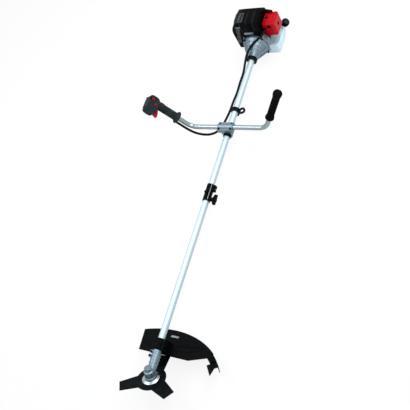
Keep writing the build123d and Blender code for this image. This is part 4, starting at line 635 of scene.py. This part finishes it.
def ring_row_tree():
    """Round rings of one size in a straight row along Z."""
    tree, given, marks = repeat_tree(
        "ring_row",
        {
            "Count": "NodeSocketInt",
            "Step": "NodeSocketVector",
            "Radius": "NodeSocketFloat",
            "Wire": "NodeSocketFloat",
            "Material": "NodeSocketMaterial",
        },
    )
    line = node(
        tree,
        "GeometryNodeMeshLine",
        {"Count": given.outputs["Count"], "Offset": given.outputs["Step"]},
        mode="OFFSET",
    )
    way = node(tree, "GeometryNodeCurvePrimitiveCircle", {"Radius": given.outputs["Radius"]}, Resolution=40)
    section = node(tree, "GeometryNodeCurvePrimitiveCircle", {"Radius": given.outputs["Wire"]}, Resolution=8)
    ring = node(
        tree,
        "GeometryNodeCurveToMesh",
        {"Curve": way.outputs["Curve"], "Profile Curve": section.outputs["Curve"]},
    )
    rings = node(
        tree,
        "GeometryNodeInstanceOnPoints",
        {"Points": line.outputs["Mesh"], "Instance": ring.outputs["Mesh"]},
    )
    end_tree(tree, given, rings.outputs["Instances"])
    return tree, marks


def grown(built, values, bevel=0.0):
    """Plain mesh of a Geometry Nodes tree with the given inputs, its edges eased by the bevel."""
    tree, marks = built
    source = helper(bpy.data.meshes.new("repeat"))
    repeat = source.modifiers.new("repeat", "NODES")
    repeat.node_group = tree
    for label, value in values.items():
        repeat[marks[label]] = value
    if bevel:
        ease = source.modifiers.new("ease", "BEVEL")
        ease.width = bevel
        ease.segments = 2
    return plain_mesh(source)


def along(origin, axis, across=None):
    """Matrix that puts a shape's own Z on an axis, and its X as near as can be to the other direction."""
    up = axis.normalized()
    side = across or (Vector((0, 0, 1)) if abs(up.z) < 0.9 else Vector((1, 0, 0)))
    first = (side - up * side.dot(up)).normalized()
    return Matrix.Translation(origin) @ Matrix((first, up.cross(first), up)).transposed().to_4x4()


class CUTTER_OT_stage(bpy.types.Operator):
    """Camera of the photograph, pale floor and soft light."""

    bl_idname = "cutter.stage"
    bl_label = "Stage"

    def execute(self, context):
        setting = context.scene.cutter_stage
        lens = bpy.data.cameras.new("camera")
        lens.lens = setting.lens
        lens.sensor_width = SENSOR
        camera = bpy.data.objects.new("camera", lens)
        turn = Matrix((CAMERA_RIGHT, CAMERA_UP, CAMERA_RIGHT.cross(CAMERA_UP))).transposed().to_4x4()
        camera.matrix_world = Matrix.Translation(place(*CAMERA_PLACE)) @ turn
        context.scene.collection.objects.link(camera)
        context.scene.camera = camera

        form = bmesh.new()
        bmesh.ops.create_grid(form, x_segments=1, y_segments=1, size=FLOOR_SIZE)
        sheet = closed(form, "floor")
        floor = bpy.data.objects.new("floor", sheet)
        context.scene.collection.objects.link(floor)
        sheet.materials.append(self.paper())
        self.sky(context, setting)
        # The long lamp hangs where the tubes mirror it to the camera all along
        for name, watts, size, spot, facing in (
            ("key", setting.key, (3.6, 1.0), place(1750, -1150, 2200), place(1750, 0, 0)),
            ("fill", setting.fill, (1.5, 1.5), place(1000, 1350, 2300), place(800, 0, 0)),
        ):
            lamp = bpy.data.lights.new(name, "AREA")
            lamp.shape = "RECTANGLE"
            lamp.energy = watts
            lamp.size, lamp.size_y = size
            stand = bpy.data.objects.new(name, lamp)
            stand.matrix_world = along(spot, spot - facing, SHAFT)
            context.scene.collection.objects.link(stand)
        context.scene.view_settings.view_transform = "Standard"
        return {"FINISHED"}

    def seen(self, tree):
        """One for rays that come from the camera, from gloss or through the tank."""
        ray = node(tree, "ShaderNodeLightPath")
        both = node(
            tree,
            "ShaderNodeMath",
            {0: ray.outputs["Is Camera Ray"], 1: ray.outputs["Is Glossy Ray"]},
            operation="MAXIMUM",
        )
        return node(
            tree,
            "ShaderNodeMath",
            {0: both.outputs["Value"], 1: ray.outputs["Is Transmission Ray"]},
            operation="MAXIMUM",
        ).outputs["Value"]

    def paper(self):
        """White paper floor: shows white, with a faint shadow of the machine."""
        made = bpy.data.materials.new("white_paper")
        made.use_nodes = True
        tree = made.node_tree
        tree.nodes.clear()
        matt = node(tree, "ShaderNodeBsdfDiffuse", Color=linear("#f4f5f5"))
        glow = node(tree, "ShaderNodeEmission", Color=linear("#ffffff"), Strength=1.0)
        share = node(tree, "ShaderNodeMath", {0: self.seen(tree)}, operation="MULTIPLY")
        share.inputs[1].default_value = FLOOR_WHITE
        mix = node(
            tree,
            "ShaderNodeMixShader",
            {0: share.outputs["Value"], 1: matt.outputs["BSDF"], 2: glow.outputs["Emission"]},
        )
        node(tree, "ShaderNodeOutputMaterial", {"Surface": mix.outputs["Shader"]})
        return made

    def sky(self, context, setting):
        """Even light from all round, white where it is seen."""
        world = bpy.data.worlds.new("studio")
        world.use_nodes = True
        tree = world.node_tree
        tree.nodes.clear()
        dim = node(tree, "ShaderNodeBackground", Color=linear("#f5f8fa"), Strength=setting.sky)
        bright = node(tree, "ShaderNodeBackground", Color=linear("#ffffff"), Strength=1.0)
        mix = node(
            tree,
            "ShaderNodeMixShader",
            {0: self.seen(tree), 1: dim.outputs["Background"], 2: bright.outputs["Background"]},
        )
        node(tree, "ShaderNodeOutputWorld", {"Surface": mix.outputs["Shader"]})
        context.scene.world = world


class CUTTER_OT_finishes(bpy.types.Operator):
    """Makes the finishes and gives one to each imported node."""

    bl_idname = "cutter.finishes"
    bl_label = "Finishes"

    def execute(self, context):
        make_finishes(context.scene.cutter_colours)
        slots = {part["node"]: part["material_slot"] for part in frame["record"]["subparts"]}
        slots["handlebar"] = "bar_alloy"
        slots["throttle_housing_inner"] = "handle_black"
        slots["throttle_housing_outer"] = "handle_black"
        for name, part in frame["nodes"].items():
            part.data.materials.clear()
            part.data.materials.append(finish(slots[name]))
        return {"FINISHED"}


class CUTTER_OT_throttle_cable(bpy.types.Operator):
    """Throttle cable from the handle to the carburettor."""

    bl_idname = "cutter.throttle_cable"
    bl_label = "Throttle cable"

    def execute(self, context):
        size = context.scene.cutter_sizes.cable
        line = traced("throttle_cable_line", [place(*point) for point in CABLE_ROUTE], 12)
        cable = bpy.data.objects.new("throttle_cable_sheath", line)
        context.scene.collection.objects.link(cable)
        context.view_layer.update()
        drawn = bpy.data.meshes.new_from_object(cable.evaluated_get(context.evaluated_depsgraph_get()))
        bpy.data.meshes.remove(drawn)
        line.bevel_depth = size / 2
        line.bevel_resolution = 4
        line.use_fill_caps = True
        line.materials.append(finish("cable_sheath"))
        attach(cable, "frame")
        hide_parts("throttle_cable")
        return {"FINISHED"}


class CUTTER_OT_engine_hood(bpy.types.Operator):
    """Hood over the cylinder, with its ribs, bare plate and trim bar."""

    bl_idname = "cutter.engine_hood"
    bl_label = "Engine hood"

    def execute(self, context):
        # The roof reaches left over the rear edge of the air cleaner, and the right side swells
        wing = hull(
            {
                1708: ((-38, 89), (-38, 112), (-86, 89), (-86, 91)),
                1726: ((-38, 89), (-38, 104), (-80, 89), (-80, 90.5)),
            }
        )
        wall = hull(
            {
                1612: ((95.5, -14), (98, 2), (99, 66), (95.5, 83)),
                1650: ((107, 10), (110, 78)),
                1694: ((107, 10), (111, 80)),
                1732: ((95.5, -14), (98, 6), (99, 66), (95.5, 83)),
            }
        )
        shoulder = hull(
            {
                1616: ((95.5, 80), (97.5, 82), (86, 107)),
                1650: ((110, 78), (89, 120)),
                1694: ((111, 80), (89, 120)),
                1722: ((95.5, 80), (99, 80), (88, 104)),
            }
        )
        pad = hull(
            {
                1591: ((-6, 106), (18, 106), (-6, 128), (18, 128)),
                1603: ((-20, 94), (32, 94), (-20, 142), (32, 142)),
            }
        )
        backing = hull(
            {
                1605: ((68, -15), (95, -15), (68, 60), (95, 60)),
                1609: ((68, -15), (95, -15), (68, 60), (95, 60)),
            }
        )
        shell = softened("engine_cover", 1.9, 30, [wing, wall, shoulder, pad, backing])
        hood = add_piece("hood_shell", shell, "frame", "black_plastic")
        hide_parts("engine_cover")
        climb = ((HOOD_FRONT, 98), (HOOD_FRONT, 130), (1604, 144), (1622, 147.5), (1668, 146))
        ribs = []
        for side in (36.0, 6.0, -27.0):
            ribs.append(swept([place(station, side, level) for station, level in climb], 4.5 * MM))
        brow = ((37, 100), (30, 92), (6, 89), (-20, 92), (-27, 100))
        ribs.append(swept([place(HOOD_FRONT, side, level) for side, level in brow], 3.0 * MM))
        add_piece("hood_ribs", joined(ribs), "frame", "black_plastic", "satin_black")
        across, up = Vector((0, -1, 0)), Vector((0, 0, 1))
        plate = tablet(place(HOOD_FRONT, 12, 78), across, up, (46, 13, 1.4), 0.5)
        add_piece("hood_plate", plate, "frame", "steel", "plate")
        bar = tablet(place(HOOD_FRONT, 52, 122), across, up, (30, 3.4, 2.4), 0.5)
        add_piece("hood_trim_bar", bar, "frame", "steel", "plate")
        return {"FINISHED"}


class CUTTER_OT_hood_louvres(bpy.types.Operator):
    """Slats of the hood's cooling louvres, down its front and over its roof."""

    bl_idname = "cutter.hood_louvres"
    bl_label = "Hood louvres"

    def execute(self, context):
        sizes = context.scene.cutter_sizes
        rows = bar_row_tree()
        step = sizes.slat_step
        front = grown(
            rows,
            {
                "Count": sizes.slats,
                "Step": (0, 0.25 * step, -step),
                "Size": (4.2 * MM, 19 * MM, 3.6 * MM),
                "Material": finish("gloss_black"),
            },
            0.8 * MM,
        )
        front.transform(Matrix.Translation(place(1601, 56, 113)))
        roof = grown(
            rows,
            {
                "Count": sizes.roof_slats,
                "Step": (step * 0.86, 0, 0),
                "Size": (3.6 * MM, 28 * MM, 4.2 * MM),
                "Material": finish("gloss_black"),
            },
            0.8 * MM,
        )
        roof.transform(Matrix.Translation(place(1612, 38, 147)) @ Matrix.Rotation(radians(-8), 4, "X"))
        add_piece("hood_louvres", joined([front, roof]), "frame", "black_plastic", "gloss_black")
        return {"FINISHED"}


class CUTTER_OT_moulded_covers(bpy.types.Operator):
    """Air cleaner cover and throttle handle with the rounded edges of mouldings."""

    bl_idname = "cutter.moulded_covers"
    bl_label = "Moulded covers"

    def execute(self, context):
        cover = add_piece("cleaner_shell", softened("air_cleaner_cover", 1.3, 6), "frame", "red_plastic")
        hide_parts("air_cleaner_cover")
        for half in ("inner", "outer"):
            shell = softened(f"throttle_housing_{half}", 1.2, 5)
            if half == "inner":
                press = Vector(joints["idle_button_press"]["axis"])
                shell = drilled(shell, "fast_idle_button", press, BUTTON_HOLE, BUTTON_WAY)
            piece = add_piece(f"throttle_shell_{half}", shell, "frame", "black_plastic", "handle_black")
            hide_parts(f"throttle_housing_{half}")
        return {"FINISHED"}


class CUTTER_OT_grip_rings(bpy.types.Operator):
    """Rings round the waist of the left grip."""

    bl_idname = "cutter.grip_rings"
    bl_label = "Grip rings"

    def execute(self, context):
        number = context.scene.cutter_sizes.grip_rings
        rings = grown(
            ring_row_tree(),
            {
                "Count": number,
                "Step": (0, 0, (GRIP_END - GRIP_START) / (number - 1) * MM),
                "Radius": GRIP_RADIUS * MM,
                "Wire": 1.7 * MM,
                "Material": finish("black_rubber"),
            },
        )
        rings.transform(along(place(*LEFT_CORNER) + LEFT_ARM * GRIP_START * MM, LEFT_ARM))
        add_piece("grip_rings", smooth_faces(rings, 60), "frame", "black_rubber")
        return {"FINISHED"}


class CUTTER_OT_cap_ribs(bpy.types.Operator):
    """Finger ribs round the fuel cap, and its flat top in a lighter black, which is a painted highlight."""

    bl_idname = "cutter.cap_ribs"
    bl_label = "Fuel cap ribs"

    def execute(self, context):
        low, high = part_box("fuel_cap")
        centre = (low + high) / 2
        seat = FILLER + FILLER_AXIS * (centre - FILLER).dot(FILLER_AXIS)
        ribs = grown(
            bar_circle_tree(),
            {
                "Count": context.scene.cutter_sizes.cap_ribs,
                "Radius": CAP_RADIUS * MM,
                "Lean": 0.0,
                "Size": (2.2 * MM, 1.9 * MM, 15 * MM),
                "Material": finish("black_plastic"),
            },
            0.6 * MM,
        )
        ribs.transform(along(seat, FILLER_AXIS))
        add_piece("fuel_cap_ribs", ribs, "cap", "black_plastic")
        end = max((v.co - FILLER).dot(FILLER_AXIS) for v in frame["nodes"]["fuel_cap"].data.vertices)
        # The flat top takes the lighter handle black: a painted highlight on the top of the cap
        top = button(FILLER + FILLER_AXIS * (end - 0.4 * MM), FILLER_AXIS, CAP_TOP, 1.6)
        add_piece("fuel_cap_top", top, "cap", "black_plastic", "handle_black")
        return {"FINISHED"}


class CUTTER_OT_clutch_ribs(bpy.types.Operator):
    """Stiffening ribs along the cone of the clutch housing, and hoops round it."""

    bl_idname = "cutter.clutch_ribs"
    bl_label = "Clutch housing ribs"

    def execute(self, context):
        ribs = grown(
            bar_circle_tree(),
            {
                "Count": context.scene.cutter_sizes.cone_ribs,
                "Radius": CONE_RADIUS * MM,
                "Lean": CONE_SLOPE,
                "Size": (6.0 * MM, 5.0 * MM, 46 * MM),
                "Material": finish("cast_alloy"),
            },
            1.0 * MM,
        )
        # Half a step round, so that the cable passes between two ribs
        half = Matrix.Rotation(pi / context.scene.cutter_sizes.cone_ribs, 4, "Z")
        ribs.transform(along(place(CONE_STATION, 0, 0), SHAFT) @ half)
        add_piece("clutch_ribs", ribs, "frame", "cast_alloy")
        hoops = []
        built = ring_row_tree()
        for station, radius in HOOPS:
            hoop = grown(
                built,
                {
                    "Count": 1,
                    "Step": (0, 0, MM),
                    "Radius": radius * MM,
                    "Wire": 1.5 * MM,
                    "Material": finish("cast_alloy"),
                },
            )
            hoop.transform(along(place(station, 0, 0), SHAFT))
            hoops.append(smooth_faces(hoop, 60))
        add_piece("clutch_hoops", joined(hoops), "frame", "cast_alloy")
        return {"FINISHED"}


class CUTTER_OT_guard_trim(bpy.types.Operator):
    """Bare plate and stiffening beads on the guard."""

    bl_idname = "cutter.guard_trim"
    bl_label = "Guard trim"

    def execute(self, context):
        rear = Vector((OUTPUT_AXIS.z, 0, -OUTPUT_AXIS.x))
        side = Vector((0, 1, 0))

        def spot(back, right, above=0.0):
            return HEAD + (OUTPUT_AXIS * (GUARD_LEVEL + above) + rear * back + side * right) * MM

        plate = tablet(spot(192, -8, 0.2), -side, -rear, (36, 10, 1.2), 0.4)
        add_piece("guard_plate", plate, "lower_boom", "steel", "plate")
        beads = []
        for way in (
            ((128, -36), (122, -80), (140, -130), (168, -158)),
            ((150, -34), (152, -80), (160, -122), (176, -146)),
            ((128, 36), (122, 60), (126, 96)),
        ):
            beads.append(swept([spot(*point) for point in way], 2.0 * MM))
        add_piece("guard_beads", joined(beads), "lower_boom", "black_plastic")
        return {"FINISHED"}


class CUTTER_OT_coupler_highlight(bpy.types.Operator):
    """Bright line along the top of the black coupler sleeve: a painted highlight."""

    bl_idname = "cutter.shaft_trim"
    bl_label = "Coupler highlight"

    def execute(self, context):
        low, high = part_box("coupler_sleeve")
        # The bright bead sits where the lamps' gloss falls on the sleeve: a painted highlight, not a real slit
        line = HEAD + Vector((0, sin(HIGHLIGHT_LEAN), cos(HIGHLIGHT_LEAN))) * COUPLER_RADIUS * MM
        ends = [Vector((low.x + (high.x - low.x) * share, line.y, line.z)) for share in (0.04, 0.5, 0.96)]
        add_piece("coupler_slit", swept(ends, 1.3 * MM), "frame", "steel", "plate")
        return {"FINISHED"}


PIECES = (
    CUTTER_OT_stage,
    CUTTER_OT_finishes,
    CUTTER_OT_throttle_cable,
    CUTTER_OT_engine_hood,
    CUTTER_OT_hood_louvres,
    CUTTER_OT_moulded_covers,
    CUTTER_OT_grip_rings,
    CUTTER_OT_cap_ribs,
    CUTTER_OT_clutch_ribs,
    CUTTER_OT_guard_trim,
    CUTTER_OT_coupler_highlight,
)


class CUTTER_PT_sidebar(bpy.types.Panel):
    """Lists the steps of the brush cutter's looks."""

    bl_idname = "CUTTER_PT_sidebar"
    bl_label = "Brush cutter"
    bl_space_type = "VIEW_3D"
    bl_region_type = "UI"
    bl_category = "Brush cutter"

    def draw(self, context):
        for group in (context.scene.cutter_colours, context.scene.cutter_sizes, context.scene.cutter_stage):
            for key in group.bl_rna.properties.keys():
                if key not in {"rna_type", "name"}:
                    self.layout.prop(group, key)
        for piece in PIECES:
            self.layout.operator(piece.bl_idname)


CLASSES = (CutterColours, CutterSizes, StageSettings, *PIECES, CUTTER_PT_sidebar)


def register():
    for item in CLASSES:
        bpy.utils.register_class(item)
    bpy.types.Scene.cutter_colours = bpy.props.PointerProperty(type=CutterColours)
    bpy.types.Scene.cutter_sizes = bpy.props.PointerProperty(type=CutterSizes)
    bpy.types.Scene.cutter_stage = bpy.props.PointerProperty(type=StageSettings)


def unregister():
    del bpy.types.Scene.cutter_stage
    del bpy.types.Scene.cutter_sizes
    del bpy.types.Scene.cutter_colours
    for item in reversed(CLASSES):
        bpy.utils.unregister_class(item)


def main():
    register()
    for piece in PIECES:
        group, name = piece.bl_idname.split(".")
        getattr(getattr(bpy.ops, group), name)()


if __name__ == "__main__":
    main()
